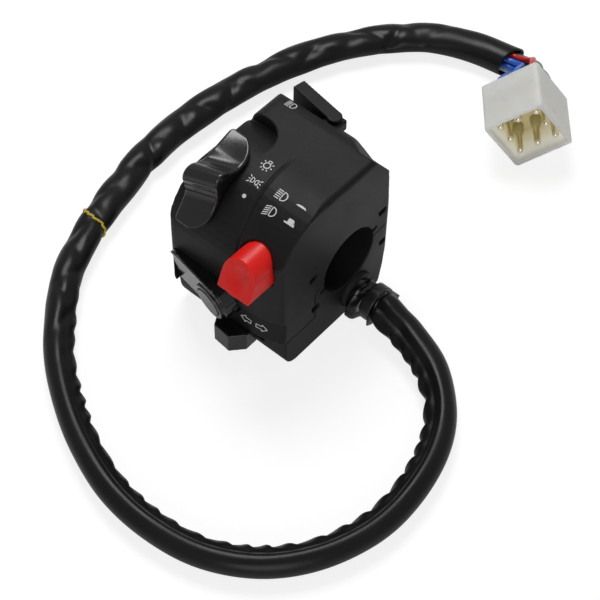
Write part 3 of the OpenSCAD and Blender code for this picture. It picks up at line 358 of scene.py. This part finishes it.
thread_rings = tube_rings(thread_line, 0.42, 8, closed=True)
thread_verts = [p * mm for ring in thread_rings for p in ring]
thread_faces = []
for k in range(96):
    for j in range(8):
        n = (k + 1) % 96
        i = (j + 1) % 8
        thread_faces.append((k * 8 + j, k * 8 + i, n * 8 + i, n * 8 + j))
thread_mesh = bpy.data.meshes.new("thread")
thread_mesh.from_pydata(thread_verts, [], thread_faces)
thread = new_piece("marker_thread", thread_mesh)
thread_yellow, thread_shader = coat_plastic("thread_yellow", (0.62, 0.46, 0.03), 0.4, 0.5, 4000.0, 0.1)
thread_mesh.materials.append(thread_yellow)
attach(thread, "casing")

# Wrapping tape: black vinyl tape wound round the leads where they leave the casing, pulled tight and creased.
exit_y = 4
exit_z = -17.85
tape_start = 22.75
tape_end = 31.7
lump_h = 4.0
tie_low, tie_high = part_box("cable_tie")
tie_mid = (tie_low[0] + tie_high[0]) / 2 / mm
tape_rings = []
for k in range(31):
    x = tape_start + (tape_end - tape_start) * k / 30
    ring = []
    for j in range(72):
        angle = 2 * math.pi * j / 72
        wrap = (x - tape_start) / 3.0 + angle / (2 * math.pi)
        lap = wrap - math.floor(wrap)
        crease = noise.noise(Vector((x * 0.5, 1.6 * math.cos(angle), 1.6 * math.sin(angle))))
        pucker = 0.4 * math.sin(9 * angle + 1.3 * x + 4 * crease)
        under = turn_from(angle, math.radians(198))
        bulge = math.exp(-(under / 0.62) ** 2) * min(1, (x - tape_start) / 1.5)
        bulge *= 1 - math.exp(-((x - tie_mid) / 1.9) ** 2)
        ragged = 0.4 * lap + pucker * (0.5 + abs(crease))
        radius = 4.7 + ragged * (1 - 0.85 * bulge) + 0.9 * crease + lump_h * bulge
        height = max(exit_z + radius * math.sin(angle), table_z + 0.1)
        ring.append(Vector((x, exit_y + radius * math.cos(angle), height)))
    tape_rings.append(ring)
tape_mesh = loft(tape_rings)
tape = new_piece("wrapping_tape", tape_mesh)
tape_vinyl, tape_shader = coat_plastic("tape_vinyl", (0.01, 0.01, 0.011), 0.26, 0.42, 1200.0, 0.1)
tape_mesh.materials.append(tape_vinyl)
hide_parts("loom_tape")
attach(tape, "casing")


# Cable tie: a black nylon strap drawn tight over the tape, with its ratchet head behind and a cut tail.
def even_skin(mesh, voxel, rounds, strength=0.5):
    """Evens a closed mesh out to small quads and rounds its edges over, as moulding does."""
    holder = bpy.data.objects.new("holder", mesh)
    bpy.context.scene.collection.objects.link(holder)
    even = holder.modifiers.new("even", "REMESH")
    even.mode = "VOXEL"
    even.voxel_size = voxel * mm
    even.use_smooth_shade = True
    if rounds:
        soften = holder.modifiers.new("soften", "SMOOTH")
        soften.factor = strength
        soften.iterations = rounds
    holder_now = holder.evaluated_get(bpy.context.evaluated_depsgraph_get())
    made = bpy.data.meshes.new_from_object(holder_now)
    bpy.data.objects.remove(holder)
    made.materials.clear()
    return made


def moulded(node, body, name, voxel, rounds):
    """A CAD node's own shape with the soft edges of a moulding, riding where the node does."""
    made = even_skin(nodes[node].data.copy(), voxel, rounds)
    piece = new_piece(name, made)
    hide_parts(node)
    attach(piece, body)
    return piece


tie = moulded("cable_tie", "casing", "tie_strap", 0.22, 4)
tie_nylon, tie_shader = coat_plastic("tie_nylon", (0.012, 0.012, 0.012), 0.3, 0.38, 3000.0, 0.04)
tie.data.materials.append(tie_nylon)

# Connector: a milky nylon block with eight round pins standing in its square mouth, lying on one edge.
# Each lead is crimped to a pin from behind.
plug_roll = math.radians(36)
plug_yaw = math.radians(40)
pin_pitch = 6.5
plug_w = 20.8
plug_h = 21.6
plug_l = 19
plug_turn = Matrix.Rotation(plug_yaw, 3, "Z") @ Matrix.Rotation(-plug_roll, 3, "Y")
plug_at = Vector((21, 91.3, table_z + (plug_w * math.sin(plug_roll) + plug_h * math.cos(plug_roll)) / 2))
housing = moulded("connector_housing", "casing", "plug_housing", 0.24, 3)
milky, milky_parts, milky_links, milky_shader = new_material("milky_nylon")
milky_film = use_group(milky.node_tree, film, Shade=(0.86, 0.87, 0.83, 1), Dust=(0.66, 0.63, 0.5, 1),
                       Gloss_Low=0.26, Gloss_High=0.4, Dust_Amount=0.25, Patch_Size=140.0)
milky_skin = use_group(milky.node_tree, grain, Grain_Size=1500.0, Depth=0.03)
# Painted shade: the inside of the mouth is tinted a darker olive the deeper it lies, for the shade that
# gathers in the translucent nylon.
mouth_painted_shade = housing.data.attributes.new("mouth_painted_shade", "FLOAT", "POINT")
# Painted light: the inside of the mouth glows faintly in its own tinted colour, brightening it as light
# through the nylon would.
inside = housing.data.attributes.new("inside", "FLOAT", "POINT")
plug_floor = 6
plug_half_wall = 0.7
for k, vertex in enumerate(housing.data.vertices):
    local = plug_turn.transposed() @ (vertex.co / mm - plug_at)
    in_mouth = abs(local.x) < plug_w / 2 - plug_half_wall and abs(local.z) < plug_h / 2 - plug_half_wall
    if in_mouth and local.y < plug_l / 2 - plug_floor + 0.6:
        deep = min(1, max(0, (local.y + plug_l / 2) / (plug_l - plug_floor)))
        mouth_painted_shade.data[k].value = deep ** 1.5
        inside.data[k].value = min(1, deep * 4)
mouth_painted_shade_read = milky_parts.new("ShaderNodeAttribute")
mouth_painted_shade_read.attribute_name = "mouth_painted_shade"
inside_read = milky_parts.new("ShaderNodeAttribute")
inside_read.attribute_name = "inside"
mouth_painted_shade_mix = milky_parts.new("ShaderNodeMix")
mouth_painted_shade_mix.data_type = "RGBA"
mouth_painted_shade_mix.inputs[7].default_value = (0.52, 0.46, 0.24, 1)
glow_level = milky_parts.new("ShaderNodeMath")
glow_level.operation = "MULTIPLY"
glow_level.inputs[1].default_value = 0.3
milky_links.new(mouth_painted_shade_read.outputs["Fac"], mouth_painted_shade_mix.inputs["Factor"])
milky_links.new(milky_film.outputs["Colour"], mouth_painted_shade_mix.inputs[6])
milky_links.new(mouth_painted_shade_mix.outputs[2], milky_shader.inputs["Base Color"])
milky_links.new(mouth_painted_shade_mix.outputs[2], milky_shader.inputs["Emission Color"])
milky_links.new(inside_read.outputs["Fac"], glow_level.inputs[0])
milky_links.new(glow_level.outputs["Value"], milky_shader.inputs["Emission Strength"])
milky_links.new(milky_film.outputs["Roughness"], milky_shader.inputs["Roughness"])
milky_links.new(milky_skin.outputs["Normal"], milky_shader.inputs["Normal"])
milky_shader.inputs["Subsurface Weight"].default_value = 1.0
milky_shader.inputs["Subsurface Radius"].default_value = (1.0, 0.95, 0.8)
milky_shader.inputs["Subsurface Scale"].default_value = 0.006
housing.data.materials.append(milky)


def metal(name, shade, gloss, scratch):
    """A plated metal whose gloss breaks up along fine scratches."""
    material, parts, links, shader = new_material(name)
    place = parts.new("ShaderNodeTexCoord")
    rubs = parts.new("ShaderNodeTexNoise")
    rubs.inputs["Scale"].default_value = scratch
    rubs.inputs["Detail"].default_value = 5
    span = parts.new("ShaderNodeMapRange")
    span.inputs["To Min"].default_value = gloss - 0.08
    span.inputs["To Max"].default_value = gloss + 0.1
    tint = parts.new("ShaderNodeMix")
    tint.data_type = "RGBA"
    tint.inputs[6].default_value = (*shade, 1)
    tint.inputs[7].default_value = (shade[0] * 0.72, shade[1] * 0.66, shade[2] * 0.58, 1)
    links.new(place.outputs["Object"], rubs.inputs["Vector"])
    links.new(rubs.outputs["Fac"], span.inputs["Value"])
    links.new(span.outputs["Result"], shader.inputs["Roughness"])
    links.new(rubs.outputs["Fac"], tint.inputs["Factor"])
    links.new(tint.outputs[2], shader.inputs["Base Color"])
    shader.inputs["Metallic"].default_value = 1
    return material


pin_metal = metal("tinned_pin", (0.92, 0.87, 0.74), 0.2, 220.0)
nodes["connector_pins"].data.materials.clear()
nodes["connector_pins"].data.materials.append(pin_metal)

# Pin collars: a short tapered tower of the same nylon stands round the root of each pin, painted dark olive
# for the shade deep in the mouth.
cells = [(-1, 1), (0, 1), (1, 1), (1, 0), (1, -1), (0, -1), (-1, -1), (-1, 0)]
collar_verts = []
collar_faces = []
collar_sides = 20
for across, upward in cells:
    foot_y = plug_l / 2 - plug_floor + 0.3
    first = len(collar_verts)
    collar_steps = [(0, 1.9), (2.6, 1.8), (3.6, 1.5), (4.6, 1.25)]
    for out, radius in collar_steps:
        for j in range(collar_sides):
            angle = 2 * math.pi * j / collar_sides
            spot = Vector((across * pin_pitch + radius * math.cos(angle), foot_y - out,
                           upward * pin_pitch + radius * math.sin(angle)))
            collar_verts.append((plug_at + plug_turn @ spot) * mm)
    for k in range(len(collar_steps) - 1):
        for j in range(collar_sides):
            a = first + k * collar_sides
            i = (j + 1) % collar_sides
            collar_faces.append((a + j, a + collar_sides + j, a + collar_sides + i, a + i))
    collar_faces.append(tuple(first + j for j in range(collar_sides)))
    last = first + (len(collar_steps) - 1) * collar_sides
    collar_faces.append(tuple(last + j for j in reversed(range(collar_sides))))
collar_mesh = bpy.data.meshes.new("pin_collars")
collar_mesh.from_pydata(collar_verts, [], collar_faces)
collars = new_piece("pin_collars", collar_mesh)
collar_nylon_painted_shade, collar_shader = coat_plastic("collar_nylon_painted_shade", (0.5, 0.44, 0.22), 0.35, 0.45, 1500.0, 0.03)
collar_mesh.materials.append(collar_nylon_painted_shade)
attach(collars, "casing")

# Leads: stranded copper in coloured vinyl, from the sleeve's mouth round to the back of the connector.
lead_shades = [("blue", (0.02, 0.13, 0.62)), ("sky", (0.03, 0.17, 0.72)), ("red", (0.7, 0.012, 0.012)),
               ("green", (0.005, 0.14, 0.07)), ("grey", (0.16, 0.16, 0.17)), ("brown", (0.14, 0.06, 0.03)),
               ("black", (0.012, 0.012, 0.012)), ("white", (0.7, 0.7, 0.68))]
lead_ring = 2.2 / (2 * math.sin(math.radians(22.5)))
for k, (shade_name, shade) in enumerate(lead_shades):
    angle = math.radians(45 * (k + 1) - 36)
    cell = Vector((cells[k][0] * pin_pitch, plug_l / 2, cells[k][1] * pin_pitch))
    start = mouth_centre + lead_ring * (math.cos(angle) * mouth_side + math.sin(angle) * Vector((0, 0, 1)))
    end = plug_at + plug_turn @ cell
    bow = 0.4 * (end - start).length
    bend_out = start + bow * mouth_heading
    bend_in = plug_at + plug_turn @ (cell + Vector((0, bow, 0)))
    line = [start - mouth_heading * 7, start - mouth_heading * 3.5]
    for j in range(25):
        t = j / 24
        line.append((1 - t) ** 3 * start + 3 * (1 - t) ** 2 * t * bend_out
                    + 3 * (1 - t) * t ** 2 * bend_in + t ** 3 * end)
    lead = new_piece("lead_" + shade_name, loft(tube_rings(line, 1.0, 16)))
    lead_vinyl, lead_shader = coat_plastic("lead_vinyl_" + shade_name, shade, 0.28, 0.38, 2500.0, 0.04)
    lead.data.materials.append(lead_vinyl)
    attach(lead, "casing")
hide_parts("lead_wires")

# Lower casing: the under half of the clamp, moulded in satin black plastic and screwed up from below.
casing_black, casing_shader = coat_plastic("casing_black", (0.006, 0.006, 0.006), 0.44, 0.54, 2600.0, 0.22,
                                           dust=0.04, patch=55.0)
casing_shader.inputs["Specular IOR Level"].default_value = 0.17
lower = moulded("lower_case", "casing", "lower_casing", 0.32, 2)
lower.data.materials.append(casing_black)

# Upper casing: the top half, with the drum that the light slider runs round. A fine seam parts the drum from
# the inboard panel, which stands a little higher.
upper = moulded("upper_case", "casing", "upper_casing", 0.32, 3)
upper.data.materials.append(casing_black)
drum_y = -11
drum_z = 13.5
drum_r = 21
facings = [v.vector.copy() for v in upper.data.vertex_normals]
for vertex, facing in zip(upper.data.vertices, facings):
    x, y, z = (c / mm for c in vertex.co)
    off_axis = math.hypot(y - drum_y, z - drum_z)
    if z > 16 and y < -3 and (off_axis > drum_r - 1 or y > drum_y) and (facing.z > 0.2 or facing.y < -0.3):
        lean = math.degrees(math.atan2(drum_y - y, z - drum_z))
        seam_x = 3.4 + 1.9 * max(lean, 0) / 60
        fade = min(1, max(0, (-3 - y) / 6)) * min(1, max(0, (z - 16) / 3))
        step = 1 / (1 + math.exp(-(x - seam_x) / 0.1))
        groove = math.exp(-((x - seam_x) / 0.36) ** 2)
        vertex.co += facing * mm * fade * (0.2 * step - 0.52 * groove)
upper.data.update()

# Clamp screws: zinc-plated cross-recess screws, sunk into the underside.
zinc = metal("zinc_plate", (0.62, 0.63, 0.66), 0.34, 700.0)
black_oxide = metal("black_oxide", (0.03, 0.03, 0.032), 0.4, 700.0)
nodes["clamp_screws"].data.materials.clear()
nodes["clamp_screws"].data.materials.append(zinc)

# Printed signs: white ink, pad-printed on the casing, each sign a thin raised film that follows the face.
# They are the usual signs of such switches: lamp, side lamps, off dot, main and dipped beam, button in and
# out, turn arrows.
casing_skin = BVHTree.FromObject(upper, bpy.context.evaluated_depsgraph_get())
ink_faces = []
ink_verts = []


def lay_ink(corners, place, across, upward, toward):
    """Lays one filled outline, in millimetres of the sign's own plane, on the casing's face."""
    work = bmesh.new()
    ring = [work.verts.new((a, b, 0)) for a, b in corners]
    work.faces.new(ring)
    bmesh.ops.triangulate(work, faces=work.faces[:])
    for _ in range(3):
        long_edges = [e for e in work.edges if e.calc_length() > 0.35]
        if not long_edges:
            break
        bmesh.ops.subdivide_edges(work, edges=long_edges, cuts=1)
        bmesh.ops.triangulate(work, faces=[f for f in work.faces if len(f.verts) > 3])
    work.verts.index_update()
    tops = []
    for vert in work.verts:
        point = place + across * vert.co.x + upward * vert.co.y
        hit, normal, _, _ = casing_skin.ray_cast((point + toward * 6) * mm, -toward)
        if hit is None:
            hit, normal = point * mm, toward
        tops.append((hit + normal * 0.05 * mm, hit - normal * 0.06 * mm))
    first = len(ink_verts)
    count = len(tops)
    ink_verts.extend(t for t, _ in tops)
    ink_verts.extend(b for _, b in tops)
    for face in work.faces:
        face.normal_update()
        order = [v.index for v in face.verts]
        if face.normal.z < 0:
            order.reverse()
        ink_faces.append(tuple(first + i for i in order))
        ink_faces.append(tuple(first + count + i for i in reversed(order)))
    for edge in work.edges:
        if len(edge.link_faces) == 1:
            loop = edge.link_loops[0]
            a = loop.vert.index
            b = loop.link_loop_next.vert.index
            if loop.face.normal.z < 0:
                a, b = b, a
            ink_faces.append((first + b, first + a, first + count + a, first + count + b))
    work.free()


def stroke(points, width):
    """The outline of a line drawn with a pen of that width."""
    left = []
    right = []
    for k, (x, y) in enumerate(points):
        ax, ay = points[max(k - 1, 0)]
        bx, by = points[min(k + 1, len(points) - 1)]
        length = math.hypot(bx - ax, by - ay)
        nx, ny = -(by - ay) / length, (bx - ax) / length
        left.append((x + nx * width / 2, y + ny * width / 2))
        right.append((x - nx * width / 2, y - ny * width / 2))
    return right + left[::-1]


def arc(cx, cy, r, start, stop, count):
    """Points on part of a circle."""
    return [(cx + r * math.cos(math.radians(start + (stop - start) * k / count)),
             cy + r * math.sin(math.radians(start + (stop - start) * k / count))) for k in range(count + 1)]


def line_sign(points, width):
    """A drawn line as one short stroke for each of its pieces."""
    return [stroke([a, b], width) for a, b in zip(points, points[1:])]


def beam_sign(slant):
    """A headlamp with its rays: a round-fronted lamp and five rays that lean by slant."""
    lamp = [(0.1, -1.35)] + arc(0.4, 0, 1.35, -85, 85, 10) + [(0.1, 1.35), (0.1, -1.35)]
    strokes = line_sign(lamp, 0.3)
    for k in range(5):
        y = -1.3 + 0.65 * k
        strokes.append(stroke([(-0.35, y), (-2.0, y - slant)], 0.27))
    return strokes


lamp_sign = line_sign(arc(0, 0, 1.0, 0, 360, 20), 0.3)
lamp_sign += line_sign([(-0.5, 0.9), (-0.5, 1.85), (0.5, 1.85), (0.5, 0.9)], 0.26)
for turn in (-215, -170, -125, -90, -55, -10, 35):
    ray_x, ray_y = math.cos(math.radians(turn)), math.sin(math.radians(turn))
    lamp_sign.append(stroke([(1.5 * ray_x, 1.5 * ray_y), (2.05 * ray_x, 2.05 * ray_y)], 0.32))
side_sign = []
for flip in (-1, 1):
    side_lamp = [(1.15, -0.78)] + arc(0.98, 0, 0.78, -100, -260, 8) + [(1.15, 0.78), (1.15, -0.78)]
    side_sign += line_sign([(flip * x, y) for x, y in side_lamp], 0.26)
    for lean in (-0.7, 0, 0.7):
        side_sign.append(stroke([(flip * 1.55, lean), (flip * 2.2, lean * 1.7)], 0.27))
dot_sign = [arc(0, 0, 0.62, 0, 345, 23)]
out_sign = [[(-1.75, -0.75), (1.75, -0.75), (1.75, -0.3), (0.95, -0.3), (0.95, 1.05), (-0.85, 1.05),
             (-0.85, -0.3), (-1.75, -0.3)]]
in_sign = [[(-1.85, -0.25), (1.85, -0.25), (1.2, 0.25), (0, 0.4), (-1.2, 0.25)]]
arrow_line = [(-2.2, 0), (-0.4, 1.35), (-0.4, 0.65), (1.6, 0.65), (1.6, -0.65), (-0.4, -0.65),
              (-0.4, -1.35), (-2.2, 0)]
along_bar = Vector((1, 0, 0))
upright = Vector((0, 0, 1))
rider_side = Vector((0, -1, 0))
drum_signs = [(lamp_sign, -0.5, 1.0), (side_sign, 0.2, 17.6), (dot_sign, 0.35, 31.4),
              (beam_sign(0.0), 9.6, 15.3),
              (in_sign, 16.4, 14.2), (beam_sign(0.7), 9.7, 29.6), (out_sign, 16.5, 28.8)]
for sign, x, lean in drum_signs:
    slope = math.radians(lean)
    outward = Vector((0, -math.sin(slope), math.cos(slope)))
    uphill = Vector((0, math.cos(slope), math.sin(slope)))
    for outline in sign:
        lay_ink(outline, Vector((x, drum_y, drum_z)) + outward * drum_r, along_bar, uphill, outward)
top_sign_at = Vector((-10.8, 10.9, 34.5))
top_sign_size = 0.9
for outline in beam_sign(0.0):
    small_outline = [(top_sign_size * a, top_sign_size * b) for a, b in outline]
    lay_ink(small_outline, top_sign_at, along_bar, Vector((0, 1, 0)), upright)
for flip, x in ((1, 9.0), (-1, 14.0)):
    for outline in line_sign([(flip * a, b) for a, b in arrow_line], 0.3):
        lay_ink(outline, Vector((x, -32, -9.0)), along_bar, upright, rider_side)
ink_mesh = bpy.data.meshes.new("printed_signs")
ink_mesh.from_pydata(ink_verts, [], ink_faces)
ink_mesh.update()
signs = bpy.data.objects.new("printed_signs", ink_mesh)
bpy.context.scene.collection.objects.link(signs)
white_ink, ink_shader = coat_plastic("white_ink", (0.78, 0.78, 0.8), 0.45, 0.6, 3500.0, 0.1,
                                     dust=0.15, patch=400.0)
ink_mesh.materials.append(white_ink)
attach(signs, "casing")

# Light slider: a glossy black moulding that wraps round the drum and clips to the rotor's web. It sweeps up
# from a rounded tongue to a slanted roll for the thumb, and down again to a flared skirt.
slider_low, slider_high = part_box("light_slider")
slider_x0 = slider_low[0] / mm
slider_x1 = slider_high[0] / mm
slider_in = 21.3
slider_rear = -5
slider_front = 75
slider_corner = 7.6
slider_edge = 0.8
roll_at = 35
roll_slant = 0.62
roll_half = 6.6
tongue_end = 24
slider_wall = 1.45
roll_h = 6.3


def slider_height(x, lean):
    """How far the slider's face stands above its underside, by place along the bar and angle round it."""
    off = abs(lean - roll_at + roll_slant * (x - (slider_x0 + slider_x1) / 2))
    roll = math.sqrt(max(0, 1 - (off / (1.28 * roll_half)) ** 2)) if off < 1.1 * roll_half else 0
    foot = 0.5113 * math.exp(-((off - 1.1 * roll_half) / 4.2) ** 1.4) if off >= 1.1 * roll_half else 0
    flare = 1.5 * max(0, (lean - 54) / 21) ** 2
    lip = 1.5 * max(0, (14 - lean) / 19) ** 1.6
    dish = 0.35 * ((x - slider_x0) / (slider_x1 - slider_x0) - 0.45) ** 2 / 0.3
    tongue = min(1, max(0, (tongue_end - lean) / 8))
    return slider_wall + roll_h * max(roll, foot) + flare + lip + dish * tongue


def slider_span(along):
    """The slider's two sides at a distance along its face, drawn in at the rounded inboard corners."""
    length = math.radians(slider_front - slider_rear) * slider_in
    near = min(along, length - along)
    inner = slider_corner
    outer = 1.4
    cut_in = inner - math.sqrt(max(0, inner ** 2 - (inner - near) ** 2)) if near < inner else 0
    cut_out = outer - math.sqrt(max(0, outer ** 2 - (outer - near) ** 2)) if near < outer else 0
    return slider_x0 + cut_out, slider_x1 - cut_in


slider_rows = 150
slider_columns = 44
slider_top = []
slider_under = []
slider_length = math.radians(slider_front - slider_rear) * slider_in
for k in range(slider_rows + 1):
    eased = (1 - math.cos(math.pi * k / slider_rows)) / 2
    along = slider_length * eased * 0.35 + 0.65 * slider_length * k / slider_rows
    lean = slider_rear + math.degrees(along / slider_in)
    side_a, side_b = slider_span(along)
    turn = math.radians(lean)
    for j in range(slider_columns + 1):
        u = 0.5 * (j / slider_columns + (1 - math.cos(math.pi * j / slider_columns)) / 2)
        x = side_a + (side_b - side_a) * u
        rim = max(0, min(x - side_a, side_b - x, along, slider_length - along))
        inset = max(0, slider_edge - rim)
        drop = slider_edge - math.sqrt(slider_edge ** 2 - inset ** 2)
        outward = Vector((0, -math.sin(turn), math.cos(turn)))
        axis_point = Vector((x, drum_y, drum_z))
        slider_top.append((axis_point + outward * (slider_in + slider_height(x, lean) - drop)) * mm)
        slider_under.append((axis_point + outward * slider_in) * mm)
slider_faces = []
slider_row = slider_columns + 1
slider_count = len(slider_top)
for k in range(slider_rows):
    for j in range(slider_columns):
        a = k * slider_row + j
        quad = (a, a + slider_row, a + slider_row + 1, a + 1)
        slider_faces.append(quad)
        slider_faces.append(tuple(slider_count + i for i in reversed(quad)))
slider_border = [j for j in range(slider_row)]
slider_border += [k * slider_row + slider_columns for k in range(1, slider_rows + 1)]
slider_border += [slider_rows * slider_row + j for j in range(slider_columns - 1, -1, -1)]
slider_border += [k * slider_row for k in range(slider_rows - 1, 0, -1)]
for a, b in zip(slider_border, slider_border[1:] + slider_border[:1]):
    slider_faces.append((a, b, slider_count + b, slider_count + a))
slider_mesh = bpy.data.meshes.new("slider_saddle")
slider_mesh.from_pydata(slider_top + slider_under, [], slider_faces)
slider_work = bmesh.new()
slider_work.from_mesh(slider_mesh)
bmesh.ops.recalc_face_normals(slider_work, faces=slider_work.faces[:])
slider_work.to_mesh(slider_mesh)
slider_work.free()
slider = new_piece("slider_saddle", slider_mesh)
glossy_black, glossy_shader = coat_plastic("glossy_black", (0.009, 0.009, 0.01), 0.14, 0.22, 1500.0, 0.02,
                                           dust=0.02, patch=120.0)
slider_mesh.materials.append(glossy_black)
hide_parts("light_slider")
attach(slider, "light_switch")

# Dimmer button: a bright red moulding with a round top and a thumb dish in its end.
button_red, red_shader = coat_plastic("button_red", (0.92, 0.016, 0.012), 0.3, 0.4, 1500.0, 0.04,
                                      dust=0.03, patch=100.0)
red_shader.inputs["Specular IOR Level"].default_value = 0.3
red_button = moulded("dimmer_button", "dimmer_switch", "red_dimmer", 0.22, 6)
red_button.data.materials.append(button_red)

# Turn knob: a faceted black knob on the end of its slide, under the chin.
knob = moulded("turn_knob", "turn_switch", "turn_knob_moulding", 0.18, 3)
knob.data.materials.append(glossy_black)

# Horn: a hooded bezel set into the front, with its round collar and a flat button a little below the rim.
bezel = moulded("horn_bezel", "casing", "horn_hood", 0.22, 5)
bezel.data.materials.append(glossy_black)
horn = moulded("horn_button", "horn_switch", "horn_cap", 0.2, 4)
horn.data.materials.append(glossy_black)

# Pass trigger: a black blade that swings on an upright pin behind the top.
trigger = moulded("pass_lever", "pass_trigger", "pass_blade", 0.24, 5)
trigger.data.materials.append(casing_black)

# Inner pieces: steel pins, balls and springs, brass contacts, phenolic boards and nylon carriers.
brass = metal("contact_brass", (0.72, 0.52, 0.22), 0.32, 800.0)
board_brown, board_shader = coat_plastic("board_brown", (0.2, 0.1, 0.04), 0.45, 0.6, 1800.0, 0.12)
carrier_nylon, carrier_shader = coat_plastic("carrier_nylon", (0.7, 0.68, 0.6), 0.4, 0.5, 1800.0, 0.06)
body_black, body_shader = coat_plastic("body_black", (0.03, 0.03, 0.033), 0.4, 0.5, 2000.0, 0.1)
grommet_rubber, grommet_shader = coat_plastic("grommet_rubber", (0.012, 0.012, 0.012), 0.6, 0.75, 1500.0,
                                               0.15, dust=0.06)
inner_red, inner_shader = coat_plastic("inner_lead_vinyl", (0.45, 0.02, 0.02), 0.3, 0.4, 2500.0, 0.04)
finishes = {
    "light_ball": zinc, "light_ball_spring": zinc, "light_pin": zinc, "dimmer_spring": zinc,
    "module_screws": zinc,
    "turn_ball": zinc, "horn_spring": zinc, "pass_pin": black_oxide, "pass_spring": zinc,
    "light_wiper": brass, "light_contacts": brass, "dimmer_terminals": brass, "turn_bridge": brass,
    "turn_terminals": brass, "horn_contact": brass, "pass_terminals": brass,
    "light_board": board_brown, "turn_board": board_brown, "horn_plate": board_brown,
    "light_rotor": carrier_nylon, "dimmer_plunger": carrier_nylon, "turn_carriage": body_black,
    "dimmer_body": body_black, "pass_switch": body_black, "cable_grommet": grommet_rubber,
    "inner_leads": inner_red,
}
for node, finish in finishes.items():
    nodes[node].data.materials.clear()
    nodes[node].data.materials.append(finish)

# Table and light: a pale table that keeps the shadow, a broad soft light overhead and behind, and a weaker
# one low at the rider's side. What shines also mirrors a share of the white table and sky.
floor_mesh = bpy.data.meshes.new("table")
reach = 3.0
floor_z = table_z * mm - 0.0001
floor_corners = [(-reach, -reach, floor_z), (reach, -reach, floor_z),
                 (reach, reach, floor_z), (-reach, reach, floor_z)]
floor_mesh.from_pydata(floor_corners, [], [(0, 1, 2, 3)])
floor = bpy.data.objects.new("table", floor_mesh)
bpy.context.scene.collection.objects.link(floor)
paper, paper_parts, paper_links, paper_shader = new_material("pale_paper")
paper_shader.inputs["Base Color"].default_value = (0.86, 0.86, 0.86, 1)
paper_shader.inputs["Roughness"].default_value = 0.9
paper_shader.inputs["Specular IOR Level"].default_value = 0.1
paper_glow = paper_parts.new("ShaderNodeEmission")
paper_glow.inputs["Strength"].default_value = 1.3
paper_path = paper_parts.new("ShaderNodeLightPath")
paper_seen = paper_parts.new("ShaderNodeMath")
paper_seen.operation = "MAXIMUM"
paper_share = paper_parts.new("ShaderNodeMath")
paper_share.operation = "MULTIPLY"
paper_share.inputs[1].default_value = 0.62
paper_mix = paper_parts.new("ShaderNodeMixShader")
paper_links.new(paper_path.outputs["Is Camera Ray"], paper_seen.inputs[0])
paper_links.new(paper_path.outputs["Is Transmission Ray"], paper_seen.inputs[1])
paper_lit = paper_parts.new("ShaderNodeMath")
paper_lit.operation = "MAXIMUM"
paper_links.new(paper_seen.outputs["Value"], paper_lit.inputs[0])
paper_mirror = paper_parts.new("ShaderNodeMath")
paper_mirror.operation = "MULTIPLY"
paper_mirror.inputs[1].default_value = 0.35
paper_links.new(paper_path.outputs["Is Glossy Ray"], paper_mirror.inputs[0])
paper_links.new(paper_mirror.outputs["Value"], paper_lit.inputs[1])
paper_links.new(paper_lit.outputs["Value"], paper_share.inputs[0])
paper_links.new(paper_share.outputs["Value"], paper_mix.inputs["Fac"])
paper_links.new(paper_shader.outputs["BSDF"], paper_mix.inputs[1])
paper_links.new(paper_glow.outputs["Emission"], paper_mix.inputs[2])
paper_links.new(paper_mix.outputs["Shader"], paper_parts["Material Output"].inputs["Surface"])
floor_mesh.materials.append(paper)

world = bpy.data.worlds.new("studio")
bpy.context.scene.world = world
world.use_nodes = True
sky_parts = world.node_tree.nodes
sky_links = world.node_tree.links
sky = sky_parts["Background"]
sky_path = sky_parts.new("ShaderNodeLightPath")
sky_seen = sky_parts.new("ShaderNodeMath")
sky_seen.operation = "MAXIMUM"
sky_level = sky_parts.new("ShaderNodeMapRange")
sky_level.inputs["To Min"].default_value = 0.14
sky_level.inputs["To Max"].default_value = 1.0
sky.inputs["Color"].default_value = (1, 1, 1, 1)
sky_links.new(sky_path.outputs["Is Camera Ray"], sky_seen.inputs[0])
sky_links.new(sky_path.outputs["Is Transmission Ray"], sky_seen.inputs[1])
sky_mirror = sky_parts.new("ShaderNodeMath")
sky_mirror.operation = "MULTIPLY"
sky_mirror.inputs[1].default_value = 0.35
sky_lit = sky_parts.new("ShaderNodeMath")
sky_lit.operation = "MAXIMUM"
sky_links.new(sky_path.outputs["Is Glossy Ray"], sky_mirror.inputs[0])
sky_links.new(sky_seen.outputs["Value"], sky_lit.inputs[0])
sky_links.new(sky_mirror.outputs["Value"], sky_lit.inputs[1])
sky_links.new(sky_lit.outputs["Value"], sky_level.inputs["Value"])
sky_links.new(sky_level.outputs["Result"], sky.inputs["Strength"])


def soft_light(name, place, aim, size, power):
    """A square soft light at a place, turned to a point."""
    lamp_data = bpy.data.lights.new(name, "AREA")
    lamp_data.size = size
    lamp_data.energy = power
    lamp = bpy.data.objects.new(name, lamp_data)
    lamp.location = place
    lamp.rotation_euler = (Vector(aim) - Vector(place)).to_track_quat("-Z", "Y").to_euler()
    bpy.context.scene.collection.objects.link(lamp)


soft_light("overhead", (-0.26, 0.2, 0.72), (0, 0, 0), 0.34, 3.6)
soft_light("side_fill", (0.55, -0.62, 0.34), (0, 0, 0), 0.5, 2.0)
bpy.context.scene.view_settings.view_transform = "Standard"
